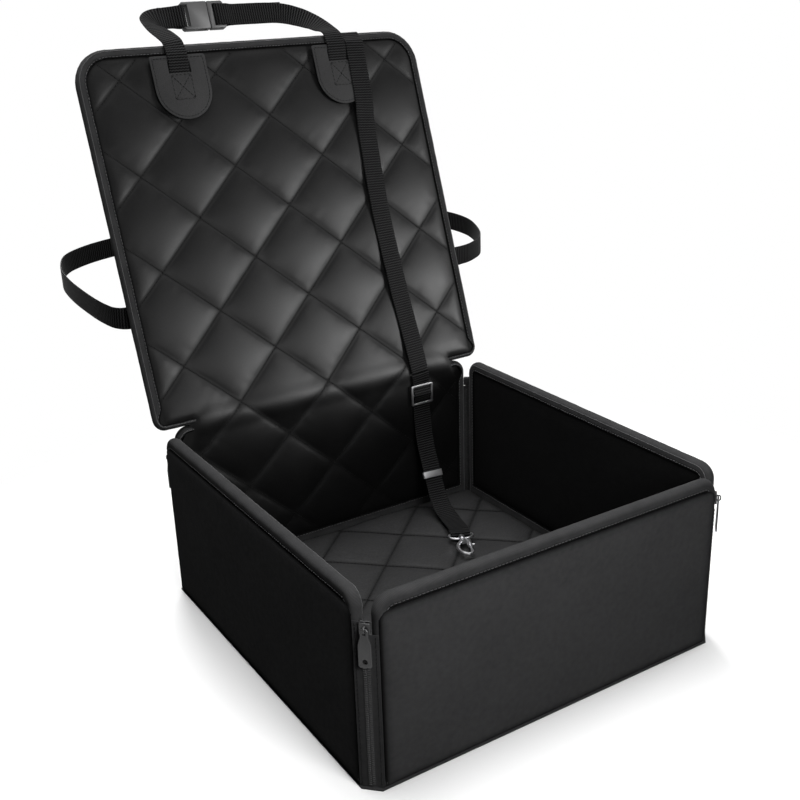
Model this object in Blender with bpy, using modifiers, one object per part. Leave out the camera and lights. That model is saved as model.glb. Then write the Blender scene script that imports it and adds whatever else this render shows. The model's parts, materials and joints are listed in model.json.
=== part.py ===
# Dog car seat: a padded fabric tray with zipped corners, a leaning quilted backrest,
# a headrest strap, a belt that goes round the seat, and a tether with a snap hook.
# Units are metres, +Z is up, and the origin is the centre of the tray's underside.

import bpy
import bmesh
from math import ceil, cos, pi, radians, sin, sqrt
from mathutils import Matrix, Vector

# Driving dimensions of the tray
BOX_WIDTH = 0.450
BOX_DEPTH = 0.465
SIDE_RIM_HEIGHT = 0.207
FRONT_RIM_HEIGHT = 0.203
WALL_THICKNESS = 0.013
RIM_RADIUS = 0.018
CORNER_SETBACK = 0.0155

# Driving dimensions of the backrest
BACKREST_WIDTH = 0.464
BACKREST_LENGTH = 0.446
BACKREST_THICKNESS = 0.013
BACKREST_LEAN = radians(19.3)
BACKREST_RADIUS = 0.042
BACKREST_FOOT_RADIUS = 0.014
LID_CLEARANCE = 0.004

# Sizes that several pieces share
GAP = 0.0003
OVERRUN = 0.002
BOARD_THICKNESS = 0.003
COVER_SKIN = 0.0012
TAPE_SKIN = 0.0010
NOSE_DEPTH = 0.005
LONG_LEG = 0.0125
SHORT_LEG = 0.0065
QUILT_HALF_WIDTH = 0.0604
QUILT_HALF_HEIGHT = 0.0565
BASE_THICKNESS = 0.0015
WEB_WIDTH = 0.026
WEB_THICKNESS = 0.0014

FOLD_HEIGHT = BASE_THICKNESS + GAP
CORE_INSET = NOSE_DEPTH + GAP
HINGE_HEIGHT = SIDE_RIM_HEIGHT + LID_CLEARANCE
HINGE_Y = BOX_DEPTH / 2 - WALL_THICKNESS


def nose_drop():
    """How far the leaning backrest's rounded foot reaches below its hinge line."""
    half = BACKREST_THICKNESS / 2
    reach = sqrt((NOSE_DEPTH * cos(BACKREST_LEAN)) ** 2 + (half * sin(BACKREST_LEAN)) ** 2)
    return reach - NOSE_DEPTH * cos(BACKREST_LEAN) + half * sin(BACKREST_LEAN)


BACK_RIM_HEIGHT = HINGE_HEIGHT - nose_drop() - GAP


# Scene, collections and materials

def empty_scene():
    for item in list(bpy.data.objects):
        bpy.data.objects.remove(item, do_unlink=True)


def new_collection(name):
    collection = bpy.data.collections.new(name)
    bpy.context.scene.collection.children.link(collection)
    return collection


def new_material(name, colour, roughness, metallic=0.0):
    material = bpy.data.materials.new(name)
    material.use_nodes = True
    shader = material.node_tree.nodes["Principled BSDF"]
    shader.inputs["Base Color"].default_value = (*colour, 1.0)
    shader.inputs["Roughness"].default_value = roughness
    shader.inputs["Metallic"].default_value = metallic
    return material


empty_scene()
PARTS = new_collection("dog_car_seat")
CUTTERS = new_collection("cutters")

CANVAS = new_material("black_canvas", (0.018, 0.018, 0.019), 0.75)
QUILTED = new_material("quilted_cloth", (0.030, 0.030, 0.031), 0.60)
BINDING = new_material("binding_tape", (0.045, 0.045, 0.047), 0.65)
BOARD = new_material("stiffener_board", (0.55, 0.55, 0.53), 0.50)
WEBBING = new_material("webbing", (0.012, 0.012, 0.013), 0.70)
LEATHER = new_material("leather_patch", (0.040, 0.040, 0.041), 0.50)
ZIP_TAPE = new_material("zip_tape", (0.015, 0.015, 0.016), 0.60)
BUCKLE = new_material("buckle_plastic", (0.070, 0.070, 0.073), 0.40)
DARK_METAL = new_material("dark_metal", (0.100, 0.100, 0.105), 0.35, 0.9)
BRIGHT_METAL = new_material("bright_metal", (0.800, 0.800, 0.810), 0.20, 1.0)


# Frames and empties

def panel_frame(origin, turn, tilt=pi / 2):
    """A frame with X across a panel, Y up along it and Z out of its inner face."""
    return Matrix.Translation(origin) @ Matrix.Rotation(turn, 4, "Z") @ Matrix.Rotation(tilt, 4, "X")


def new_pivot(name, frame, parent=None):
    pivot = bpy.data.objects.new(name, None)
    PARTS.objects.link(pivot)
    pivot.matrix_world = frame
    if parent:
        attach(pivot, parent, frame)
    return pivot


def attach(item, parent, frame):
    item.parent = parent
    item.matrix_parent_inverse = parent.matrix_world.inverted()
    item.matrix_world = frame
    bpy.context.view_layer.update()


# Modelling helpers

def finish_mesh(bm, name):
    bmesh.ops.remove_doubles(bm, verts=bm.verts, dist=GAP / 30)
    bmesh.ops.recalc_face_normals(bm, faces=bm.faces)
    mesh = bpy.data.meshes.new(name)
    bm.to_mesh(mesh)
    bm.free()
    return mesh


def new_part(name, mesh, material, frame, parent, smooth=False):
    part = bpy.data.objects.new(name, mesh)
    PARTS.objects.link(part)
    mesh.materials.append(material)
    if smooth:
        mesh.shade_smooth()
        mesh.set_sharp_from_angle(angle=radians(40))
    part.matrix_world = frame
    if parent:
        attach(part, parent, frame)
    return part


def new_cutter(name, mesh, frame):
    cutter = bpy.data.objects.new(name, mesh)
    CUTTERS.objects.link(cutter)
    cutter.matrix_world = frame
    cutter.hide_render = True
    cutter.display_type = "WIRE"
    return cutter


def add_boolean(part, tool_mesh, operation):
    tool = new_cutter(f"{part.name}_{operation.lower()}", tool_mesh, part.matrix_world.copy())
    step = part.modifiers.new(operation.title(), "BOOLEAN")
    step.operation = operation
    step.solver = "EXACT"
    step.object = tool


def add_bevel(part, width, segments=2, angle=radians(40)):
    step = part.modifiers.new("Bevel", "BEVEL")
    step.width = width
    step.segments = segments
    step.limit_method = "ANGLE"
    step.angle_limit = angle


def box_into(bm, low, high):
    """Adds an axis-aligned box between two corners."""
    low, high = Vector(low), Vector(high)
    place = Matrix.Translation((low + high) / 2) @ Matrix.Diagonal((*(high - low), 1))
    bmesh.ops.create_cube(bm, size=1, matrix=place)


def box_mesh(name, low, high):
    bm = bmesh.new()
    box_into(bm, low, high)
    return finish_mesh(bm, name)


def cylinder_mesh(name, radius, start, end, sides=16, end_radius=None):
    """A cylinder or cone along local X, from X = start to X = end."""
    bm = bmesh.new()
    place = Matrix.Translation(((start + end) / 2, 0, 0)) @ Matrix.Rotation(pi / 2, 4, "Y")
    bmesh.ops.create_cone(bm, cap_ends=True, segments=sides, radius1=radius,
                          radius2=radius if end_radius is None else end_radius,
                          depth=end - start, matrix=place)
    return finish_mesh(bm, name)


def shifted(mesh, offset):
    mesh.transform(Matrix.Translation(offset))
    return mesh


def prism_mesh(name, outline, low, high, axis="Z"):
    """A closed outline, extruded between two heights along X, Y or Z."""
    spots = {"Z": lambda p, h: (p[0], p[1], h), "Y": lambda p, h: (p[0], h, p[1]),
             "X": lambda p, h: (h, p[0], p[1])}
    bm = bmesh.new()
    face = bm.faces.new([bm.verts.new(spots[axis](p, low)) for p in outline])
    grown = bmesh.ops.extrude_face_region(bm, geom=[face])
    tops = [item for item in grown["geom"] if isinstance(item, bmesh.types.BMVert)]
    shift = {"Z": (0, 0, high - low), "Y": (0, high - low, 0), "X": (high - low, 0, 0)}[axis]
    bmesh.ops.translate(bm, verts=tops, vec=shift)
    return finish_mesh(bm, name)


def arc(centre, radius, start, end, steps):
    """Points on an arc, both ends included."""
    angles = [start + (end - start) * step / steps for step in range(steps + 1)]
    return [(centre[0] + radius * cos(a), centre[1] + radius * sin(a)) for a in angles]


def rounded_outline(half_width, bottom, top, foot_radius, head_radius, steps=4):
    """A rectangle with rounded corners, anticlockwise from its lower right corner."""
    points = []
    for side_x, edge, radius, start in ((1, bottom, foot_radius, -pi / 2), (1, top, head_radius, 0),
                                        (-1, top, head_radius, pi / 2), (-1, bottom, foot_radius, pi)):
        upward = 1 if edge == bottom else -1
        if radius <= 0:
            points.append((side_x * half_width, edge))
        else:
            centre = (side_x * (half_width - radius), edge + upward * radius)
            points += arc(centre, radius, start, start + pi / 2, steps)
    return points


def loft_mesh(name, rings, closed=False):
    """Joins equal rings of points into one skin; an open loft gets end caps."""
    bm = bmesh.new()
    loops = [[bm.verts.new(point) for point in ring] for ring in rings]
    pairs = list(zip(loops, loops[1:] + loops[:1])) if closed else list(zip(loops, loops[1:]))
    for first, second in pairs:
        for i in range(len(first)):
            j = (i + 1) % len(first)
            bm.faces.new((first[i], first[j], second[j], second[i]))
    if not closed:
        bm.faces.new(loops[0])
        bm.faces.new(loops[-1])
    return finish_mesh(bm, name)


def smooth_path(points, per_span):
    """Points along a smooth curve through the given ones."""
    points = [Vector(p) for p in points]
    padded = [2 * points[0] - points[1]] + points + [2 * points[-1] - points[-2]]
    path = []
    for a, b, c, d in zip(padded, padded[1:], padded[2:], padded[3:]):
        for step in range(per_span):
            t = step / per_span
            path.append(0.5 * (2 * b + (c - a) * t + (2 * a - 5 * b + 4 * c - d) * t * t
                               + (3 * b - a - 3 * c + d) * t ** 3))
    return path + [points[-1]]


def web_mesh(name, points, widths, per_span=3, width=WEB_WIDTH, thickness=WEB_THICKNESS):
    """Flat webbing along a route; widths give the direction across it at each point."""
    centres = smooth_path(points, per_span)
    across = smooth_path(widths, per_span)
    rings = []
    for i, centre in enumerate(centres):
        along = centres[min(i + 1, len(centres) - 1)] - centres[max(i - 1, 0)]
        along.normalize()
        side = (across[i] - along * across[i].dot(along)).normalized()
        face = along.cross(side)
        rings.append([centre + side * (a * width / 2) + face * (b * thickness / 2)
                      for a, b in ((-1, -1), (1, -1), (1, 1), (-1, 1))])
    return loft_mesh(name, rings)


def wire_mesh(name, points, radius, closed=False, sides_step=1):
    """A round wire along a route, made a mesh with its caps welded."""
    curve = bpy.data.curves.new(name, "CURVE")
    curve.dimensions = "3D"
    curve.bevel_depth = radius
    curve.bevel_resolution = sides_step
    curve.use_fill_caps = True
    spline = curve.splines.new("POLY")
    spline.points.add(len(points) - 1)
    for spot, point in zip(spline.points, points):
        spot.co = (*point, 1)
    spline.use_cyclic_u = closed
    item = bpy.data.objects.new(name, curve)
    PARTS.objects.link(item)
    bpy.context.view_layer.update()
    mesh = bpy.data.meshes.new_from_object(item.evaluated_get(bpy.context.evaluated_depsgraph_get()))
    bpy.data.objects.remove(item, do_unlink=True)
    bm = bmesh.new()
    bm.from_mesh(mesh)
    return finish_mesh(bm, name)


def flat_piece(name, outlines, thickness, material, frame, parent):
    """A flat plate with holes: a filled two-dimensional curve, extruded about its middle."""
    curve = bpy.data.curves.new(name, "CURVE")
    curve.dimensions = "2D"
    curve.fill_mode = "BOTH"
    curve.extrude = thickness / 2
    for outline in outlines:
        spline = curve.splines.new("POLY")
        spline.points.add(len(outline) - 1)
        for spot, point in zip(spline.points, outline):
            spot.co = (point[0], point[1], 0, 1)
        spline.use_cyclic_u = True
    curve.materials.append(material)
    piece = bpy.data.objects.new(name, curve)
    PARTS.objects.link(piece)
    attach(piece, parent, frame)
    return piece


# Padded panels: cover, stiffener board, inner pad and edge binding

FLANGE_DEPTH = 0.0045
PAD_CROWN = 0.0022
QUILT_CROWN = 0.0032
CROWN_MARGIN = 0.022
TAPER_LENGTH = 0.012
QUILT_STEPS = 4
PLAIN_STEPS = 2
NOSE_STEPS = 6
CORNER_STEPS = 4


def binding_section(legs, thickness):
    """One cut through the folded tape, as (distance in from the edge, height)."""
    outer, inner = legs
    half = thickness / 2
    nose = [(NOSE_DEPTH * (1 - sin(pi * i / NOSE_STEPS)), half + half * cos(pi * i / NOSE_STEPS))
            for i in range(NOSE_STEPS + 1)]
    return [(inner, thickness), *nose, (outer, 0), (outer, TAPE_SKIN), (CORE_INSET, TAPE_SKIN),
            (CORE_INSET, thickness - TAPE_SKIN), (inner, thickness - TAPE_SKIN)]


def turned_corner(centre, radius, start, zone):
    outer = arc(centre, radius, start, start + pi / 2, CORNER_STEPS)
    ways = arc((0, 0), -1, start, start + pi / 2, CORNER_STEPS)
    return [(point, way, (zone, zone)) for point, way in zip(outer, ways)]


def binding_stations(shape):
    """Spots round a panel's edge: point, direction in, and the zones that set the tape's legs."""
    half, top, head, foot = shape["half_width"], shape["top"], shape["head_radius"], shape["foot_radius"]
    stations = [((half, 0), (-1, 1), ("side", "foot"))]
    if foot > 0:
        stations = turned_corner((half - foot, foot), foot, -pi / 2, "foot")
        stations.append(((half, foot + TAPER_LENGTH), (-1, 0), ("side", "side")))
    stations.append(((half, top - head - TAPER_LENGTH), (-1, 0), ("side", "side")))
    stations += turned_corner((half - head, top - head), head, 0, "head")
    return stations + [((-p[0], p[1]), (-n[0], n[1]), zones) for p, n, zones in reversed(stations)]


def binding_mesh(name, shape):
    rings = []
    for point, way, zones in binding_stations(shape):
        across, along = (binding_section(shape[zone], shape["thickness"]) for zone in zones)
        rings.append([(point[0] + a[0] * way[0], point[1] + b[0] * way[1], shape["base"] + a[1])
                      for a, b in zip(across, along)])
    return loft_mesh(name, rings, closed=True)


def panel_outline(shape, side, foot, head):
    """The panel's edge, drawn in by its own distance at the sides, foot and head."""
    return rounded_outline(shape["half_width"] - side, foot, shape["top"] - head,
                           max(shape["foot_radius"] - side, 0), max(shape["head_radius"] - side, 0),
                           CORNER_STEPS)


def edge_distance(outline, x, y):
    """How far a point lies inside a convex, anticlockwise outline."""
    least = None
    for (x0, y0), (x1, y1) in zip(outline, outline[1:] + outline[:1]):
        dx, dy = x1 - x0, y1 - y0
        distance = (dx * (y - y0) - dy * (x - x0)) / sqrt(dx * dx + dy * dy)
        least = distance if least is None else min(least, distance)
    return least


def crown_share(outline, x, y, node_height):
    inside = min(max(edge_distance(outline, x, y) / CROWN_MARGIN, 0), 1)
    edge_share = sqrt(inside * (2 - inside))
    if node_height is None:
        return edge_share
    across, along = x / QUILT_HALF_WIDTH, (y - node_height) / QUILT_HALF_HEIGHT
    return edge_share * sqrt(abs(sin(pi * (across + along) / 2) * sin(pi * (across - along) / 2)))


def touches(face, low, high):
    """Whether a face's box and the box from low to high meet, seen from above."""
    return all(min(v.co[i] for v in face.verts) < high[i] + GAP
               and max(v.co[i] for v in face.verts) > low[i] - GAP for i in (0, 1))


def cut_along(bm, outline, clear):
    """Cuts a sheet along an outline, all through or only where each of its edges runs."""
    for (x0, y0), (x1, y1) in zip(outline, outline[1:] + outline[:1]):
        faces, edges, verts = bm.faces[:], bm.edges[:], bm.verts[:]
        if not clear:
            low, high = (min(x0, x1), min(y0, y1)), (max(x0, x1), max(y0, y1))
            faces = [face for face in faces if touches(face, low, high)]
            edges = list({edge for face in faces for edge in face.edges})
            verts = list({vert for face in faces for vert in face.verts})
        outward = Vector((y1 - y0, x0 - x1, 0)).normalized()
        bmesh.ops.bisect_plane(bm, geom=verts + edges + faces, dist=GAP / 3, plane_co=(x0, y0, 0),
                               plane_no=outward, clear_outer=clear)


def pad_mesh(name, outline, crown_outline, back, face, crown, node_height=None):
    """A pad with a flat back, crowned inside crown_outline, in diamonds if node_height is given."""
    xs, ys = [p[0] for p in outline], [p[1] for p in outline]
    origin = (min(ys) + max(ys)) / 2 if node_height is None else node_height
    steps = PLAIN_STEPS if node_height is None else QUILT_STEPS
    reach = max(max(xs), max(ys) - origin, origin - min(ys))
    count = ceil(2 * reach / min(QUILT_HALF_WIDTH, QUILT_HALF_HEIGHT))
    bm = bmesh.new()
    bmesh.ops.create_grid(bm, x_segments=2 * count * steps, y_segments=2 * count * steps, size=count)
    for vert in bm.verts:
        p, q = vert.co.x, vert.co.y
        vert.co = ((p + q) * QUILT_HALF_WIDTH, origin + (p - q) * QUILT_HALF_HEIGHT, 0)
    cut_along(bm, outline, clear=True)
    cut_along(bm, crown_outline, clear=False)
    for vert in bm.verts:
        vert.co.z = face + crown * crown_share(crown_outline, vert.co.x, vert.co.y, node_height)
    grown = bmesh.ops.extrude_edge_only(bm, edges=[edge for edge in bm.edges if edge.is_boundary])
    for vert in (item for item in grown["geom"] if isinstance(item, bmesh.types.BMVert)):
        vert.co.z = back
    bmesh.ops.contextual_create(bm, geom=[edge for edge in bm.edges if edge.is_boundary])
    return finish_mesh(bm, name)


def tray_cover(name, outline, low, frame, parent):
    """The outer fabric, turned in round the board: an open tray with Solidify."""
    bm = bmesh.new()
    face = bm.faces.new([bm.verts.new((x, y, low)) for x, y in outline])
    rim = bmesh.ops.extrude_edge_only(bm, edges=face.edges[:])
    for vert in (item for item in rim["geom"] if isinstance(item, bmesh.types.BMVert)):
        vert.co.z += FLANGE_DEPTH
    part = new_part(name, finish_mesh(bm, name), CANVAS, frame, parent)
    skin = part.modifiers.new("Solidify", "SOLIDIFY")
    skin.thickness = COVER_SKIN
    skin.offset = -1
    skin.use_even_offset = True


def build_panel(name, shape, frame, parent):
    """One wall or the backrest, layer by layer from its outer face, shape["base"], inwards."""
    core = CORE_INSET + GAP
    skin_low = shape["base"] + TAPE_SKIN + GAP
    board_low = skin_low + COVER_SKIN + GAP
    pad_low = skin_low + FLANGE_DEPTH + GAP
    pad_face = shape["base"] + shape["thickness"] - TAPE_SKIN - GAP
    outline = panel_outline(shape, core, core, core)
    tray_cover(f"{name}_outer_cover", outline, skin_low, frame, parent)
    tuck = core + COVER_SKIN + GAP
    board = prism_mesh(name, panel_outline(shape, tuck, tuck, tuck), board_low, board_low + BOARD_THICKNESS)
    new_part(f"{name}_stiffener_board", board, BOARD, frame, parent)
    crown_edge = panel_outline(shape, *(shape[zone][1] + GAP for zone in ("side", "foot", "head")))
    node_height = shape.get("node_height")
    quilted = node_height is not None
    crown = (QUILT_CROWN if quilted else PAD_CROWN) + TAPE_SKIN + GAP
    pad = pad_mesh(name, outline, crown_edge, pad_low, pad_face, crown, node_height)
    new_part(f"{name}_{'quilted_pad' if quilted else 'inner_lining'}", pad,
             QUILTED if quilted else CANVAS, frame, parent, smooth=True)
    new_part(f"{name}_edge_binding", binding_mesh(name, shape), BINDING, frame, parent, smooth=True)


# Floor: carrying sheet, board and quilted cushion

BASE_RADIUS = 0.020
FLOOR_MARGIN = 0.0018
CUSHION_EDGE = 0.0125
CUSHION_CROWN = 0.0050
FLOOR_NODE_Y = 0.1006


def build_floor():
    level = Matrix.Identity(4)
    floor = new_pivot("floor", level)
    corner = BASE_RADIUS
    sheet = [(x, y - BOX_DEPTH / 2) for x, y in rounded_outline(BOX_WIDTH / 2, 0, BOX_DEPTH, corner, corner)]
    new_part("floor_base_cover", prism_mesh("floor_base_cover", sheet, 0, BASE_THICKNESS), CANVAS,
             level, floor)
    half_x = BOX_WIDTH / 2 - WALL_THICKNESS - FLOOR_MARGIN
    half_y = BOX_DEPTH / 2 - WALL_THICKNESS - FLOOR_MARGIN
    pad_outline = [(-half_x, -half_y), (half_x, -half_y), (half_x, half_y), (-half_x, half_y)]
    board_low = BASE_THICKNESS + GAP
    board_top = board_low + BOARD_THICKNESS
    new_part("floor_stiffener_board", prism_mesh("floor_board", pad_outline, board_low, board_top),
             BOARD, level, floor)
    crown_edge = [(x * (1 - GAP / half_x), y * (1 - GAP / half_y)) for x, y in pad_outline]
    cushion = pad_mesh("floor_cushion", pad_outline, crown_edge, board_top + GAP, CUSHION_EDGE,
                       CUSHION_CROWN, FLOOR_NODE_Y)
    new_part("floor_quilted_cushion", cushion, QUILTED, level, floor, smooth=True)
    return floor


# Walls and backrest

FOOT_LEG = 0.0215
FOLD_NODE_HEIGHT = 0.0124


def wall_shape(half_width, rim_height, outer_leg=LONG_LEG, inner_leg=LONG_LEG, node_height=None):
    return {"half_width": half_width, "top": rim_height - FOLD_HEIGHT, "head_radius": RIM_RADIUS,
            "foot_radius": 0, "thickness": WALL_THICKNESS, "base": 0, "head": (outer_leg, inner_leg),
            "side": (SHORT_LEG, LONG_LEG), "foot": (SHORT_LEG, FOOT_LEG), "node_height": node_height}


def build_walls(floor):
    """The four walls, each about the seam along its outer foot."""
    front_half = BOX_WIDTH / 2 - CORNER_SETBACK
    side_half = BOX_DEPTH / 2 - CORNER_SETBACK
    node = HINGE_HEIGHT - FOLD_HEIGHT + FOLD_NODE_HEIGHT
    layout = {
        "front_wall": ((0, -BOX_DEPTH / 2, FOLD_HEIGHT), pi, wall_shape(front_half, FRONT_RIM_HEIGHT)),
        "left_wall": ((-BOX_WIDTH / 2, 0, FOLD_HEIGHT), pi / 2, wall_shape(side_half, SIDE_RIM_HEIGHT)),
        "right_wall": ((BOX_WIDTH / 2, 0, FOLD_HEIGHT), -pi / 2, wall_shape(side_half, SIDE_RIM_HEIGHT)),
        "back_wall": ((0, BOX_DEPTH / 2, FOLD_HEIGHT), 0,
                      wall_shape(front_half, BACK_RIM_HEIGHT, LONG_LEG, SHORT_LEG, node)),
    }
    pivots = {}
    for name, (origin, turn, shape) in layout.items():
        frame = panel_frame(origin, turn)
        pivots[name] = new_pivot(f"{name}_fold", frame, floor)
        build_panel(name, shape, frame, pivots[name])
    return pivots


def build_backrest(back_wall):
    frame = panel_frame((0, HINGE_Y, HINGE_HEIGHT), 0, pi / 2 - BACKREST_LEAN)
    pivot = new_pivot("backrest_fold", frame, back_wall)
    shape = {"half_width": BACKREST_WIDTH / 2, "top": BACKREST_LENGTH, "head_radius": BACKREST_RADIUS,
             "foot_radius": BACKREST_FOOT_RADIUS, "thickness": BACKREST_THICKNESS,
             "base": -BACKREST_THICKNESS, "head": (LONG_LEG, LONG_LEG), "side": (LONG_LEG, LONG_LEG),
             "foot": (SHORT_LEG, SHORT_LEG), "node_height": FOLD_NODE_HEIGHT}
    build_panel("backrest", shape, frame, pivot)
    return pivot


# Corner zips: two tapes with teeth, a slider and a pull tab at each corner

ZIP_HALF_WIDTH = 0.0120
ZIP_TAPE_SKIN = 0.0008
TOOTH_WIDTH = 0.0030
TOOTH_DEPTH = 0.0024
TOOTH_LENGTH = 0.0032
TOOTH_PITCH = 0.0065
CHAIN_GAP = 0.0012
TAPE_ROOT = 0.0020
ZIP_FOOT = 0.0080
ZIP_TOP_MARGIN = 0.0272
SLIDER_LENGTH = 0.0110
SLIDER_PLATE = 0.0012
SLIDER_LIP = 0.0010
SLIDER_RUNNING_GAP = 0.0020
BAIL_LENGTH = 0.0066
BAIL_RISE = 0.0046
BAIL_WIRE = 0.0014
BAIL_WIDTH = 0.0016
TAB_LENGTH = 0.0385
TAB_WIDTH = 0.0120
TAB_NECK = 0.0075
TAB_THICKNESS = 0.0016
TAB_EYE_WIDTH = 0.0028
TAB_EYE_LENGTH = 0.0040
TAB_BAR = 0.0024
TAB_HOLE_RADIUS = 0.0025
TAB_END_MARGIN = 0.0062
TAB_GROUND_GAP = 0.0010

NOSE_LEVEL = (sqrt(NOSE_DEPTH ** 2 + (WALL_THICKNESS / 2) ** 2) - NOSE_DEPTH - WALL_THICKNESS / 2) / sqrt(2)
TAPE_LOW = NOSE_LEVEL + GAP
TAPE_HIGH = TAPE_LOW + ZIP_TAPE_SKIN
TOOTH_LOW = (TAPE_LOW + TAPE_HIGH - TOOTH_DEPTH) / 2
TOOTH_HIGH = TOOTH_LOW + TOOTH_DEPTH
SLIDER_LOW = TOOTH_LOW - GAP - SLIDER_PLATE
SLIDER_HIGH = TOOTH_HIGH + GAP + SLIDER_PLATE
ZIP_TOP = SIDE_RIM_HEIGHT - FOLD_HEIGHT - ZIP_TOP_MARGIN
SLIDER_REST = ZIP_TOP - SLIDER_LENGTH / 2 - GAP
SLIDER_TRAVEL = SLIDER_REST - TAB_LENGTH - TAB_GROUND_GAP


def zip_half(name, side, low, high, frame, parent):
    """One tape with its teeth; side is -1 or 1 across the corner."""
    inner, outer = CHAIN_GAP / 2, ZIP_HALF_WIDTH
    edges = sorted((side * (inner + TAPE_ROOT), side * outer))
    tape = new_part(name, box_mesh(name, (edges[0], low, TAPE_LOW), (edges[1], high, TAPE_HIGH)),
                    ZIP_TAPE, frame, parent)
    teeth = bmesh.new()
    near, far = sorted((side * inner, side * (inner + TOOTH_WIDTH)))
    count = int((high - low - TOOTH_LENGTH) / TOOTH_PITCH)
    first = low + (TOOTH_LENGTH if side > 0 else TOOTH_LENGTH / 2)
    for i in range(count):
        start = first + i * TOOTH_PITCH
        box_into(teeth, (near, start, TOOTH_LOW), (far, start + TOOTH_LENGTH, TOOTH_HIGH))
    add_boolean(tape, finish_mesh(teeth, f"{name}_teeth"), "UNION")


def mirrored(points):
    return points + [(-x, y) for x, y in reversed(points)]


def slider_section():
    """The slider's cut: two plates, a web between the tapes and lips round the teeth."""
    web = CHAIN_GAP / 2 - GAP
    groove = CHAIN_GAP / 2 + TOOTH_WIDTH + GAP
    edge = groove + SLIDER_LIP
    return mirrored([(edge, SLIDER_LOW), (edge, TAPE_LOW - GAP), (groove, TAPE_LOW - GAP),
                     (groove, TOOTH_LOW - GAP), (web, TOOTH_LOW - GAP), (web, TOOTH_HIGH + GAP),
                     (groove, TOOTH_HIGH + GAP), (groove, TAPE_HIGH + GAP), (edge, TAPE_HIGH + GAP),
                     (edge, SLIDER_HIGH)])


def bail_outline():
    """The slider's bail from the side, sunk into the outer plate."""
    root, half = SLIDER_HIGH - SLIDER_PLATE / 2, BAIL_LENGTH / 2
    inner, shoulder = half - BAIL_WIRE, SLIDER_HIGH + BAIL_RISE - BAIL_WIRE
    return mirrored([(inner, shoulder), (inner, root), (half, root), (half, shoulder),
                     (inner, shoulder + BAIL_WIRE)])


def zip_slider(name, corner, parent):
    frame = corner @ Matrix.Translation((0, SLIDER_REST, 0))
    pivot = new_pivot(f"{name}_slide", frame, parent)
    half = SLIDER_LENGTH / 2
    slider = new_part(f"{name}_slider", prism_mesh(name, slider_section(), -half, half, "Y"), DARK_METAL,
                      frame, pivot)
    bail = prism_mesh(f"{name}_bail", bail_outline(), -BAIL_WIDTH / 2, BAIL_WIDTH / 2, "X")
    add_boolean(slider, bail, "UNION")
    hinge = frame @ Matrix.Translation((0, 0, SLIDER_HIGH + (BAIL_RISE - BAIL_WIRE) / 2))
    tab_pivot = new_pivot(f"{name}_tab_hinge", hinge, pivot)
    eye_top, eye_half = -TAB_BAR / 2, TAB_EYE_WIDTH / 2
    head, foot, shoulder = TAB_BAR / 2, -TAB_LENGTH, -TAB_BAR / 2 - TAB_EYE_LENGTH - TAB_BAR
    outer = mirrored([(TAB_NECK / 2 - TAB_THICKNESS, head), (TAB_NECK / 2, eye_top), (TAB_NECK / 2, shoulder),
                      (TAB_WIDTH / 2, shoulder - TAB_NECK), (TAB_WIDTH / 2, foot + TAB_THICKNESS),
                      (TAB_WIDTH / 2 - TAB_THICKNESS, foot)])
    eye = mirrored([(eye_half, eye_top), (eye_half, eye_top - TAB_EYE_LENGTH)])
    hole = arc((0, foot + TAB_END_MARGIN), TAB_HOLE_RADIUS, 0, 2 * pi, 12)[:-1]
    flat_piece(f"{name}_pull_tab", [outer, eye, hole], TAB_THICKNESS, DARK_METAL, hinge, tab_pivot)


def build_zips(walls):
    """At each corner the side wall's tape is the long one, and its slider parks at the top."""
    half_x, half_y = (BOX_WIDTH - CORNER_SETBACK) / 2, (BOX_DEPTH - CORNER_SETBACK) / 2
    park = SLIDER_LENGTH + SLIDER_RUNNING_GAP
    corners = {"front_left": (-1, -1, -pi / 4, "front_wall", "left_wall", -1),
               "front_right": (1, -1, pi / 4, "front_wall", "right_wall", 1),
               "back_right": (1, 1, 3 * pi / 4, "back_wall", "right_wall", -1),
               "back_left": (-1, 1, -3 * pi / 4, "back_wall", "left_wall", 1)}
    for place, (side_x, side_y, turn, end_wall, side_wall, side) in corners.items():
        corner = panel_frame((side_x * half_x, side_y * half_y, FOLD_HEIGHT), turn)
        name = f"{place}_zip"
        zip_half(f"{name}_side_tape", side, ZIP_FOOT, ZIP_TOP, corner, walls[side_wall])
        zip_half(f"{name}_end_tape", -side, ZIP_FOOT + park + SLIDER_RUNNING_GAP, ZIP_TOP - park, corner,
                 walls[end_wall])
        zip_slider(name, corner, walls[side_wall])


# Side-release buckles

BUCKLE_WIDTH = 0.034
BUCKLE_DEPTH = 0.0105
BUCKLE_HALF_LENGTH = 0.0285
SOCKET_MOUTH = 0.0065
SOCKET_FLOOR = -0.0165
SOCKET_WIDTH = 0.0270
SOCKET_DEPTH = 0.0056
WINDOW_START = -0.0105
WINDOW_END = 0.0020
BAR_THICKNESS = 0.0030
BAR_DEPTH = 0.0060
SLOT_LENGTH = 0.0050
SLOT_WIDTH = 0.0272
STRAP_RELIEF = 0.0010
PRONG_WIDTH = 0.0042
PRONG_TIP = -0.0140
TONGUE_WIDTH = 0.0070
TONGUE_TIP = -0.0040
PLUG_SHOULDER = 0.0060
BUCKLE_ROUND = 0.0012


def buckle_outline(start, end, waist):
    half, round_off = BUCKLE_WIDTH / 2, 2 * BUCKLE_ROUND
    return [(start, -half + round_off), (start + round_off, -half), (waist, -half), (end, -half + BUCKLE_ROUND),
            (end, half - BUCKLE_ROUND), (waist, half), (start + round_off, half), (start, half - round_off)]


def cut_boxes(part, name, boxes):
    bm = bmesh.new()
    for low, high in boxes:
        box_into(bm, low, high)
    add_boolean(part, finish_mesh(bm, f"{part.name}_{name}"), "DIFFERENCE")


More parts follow.
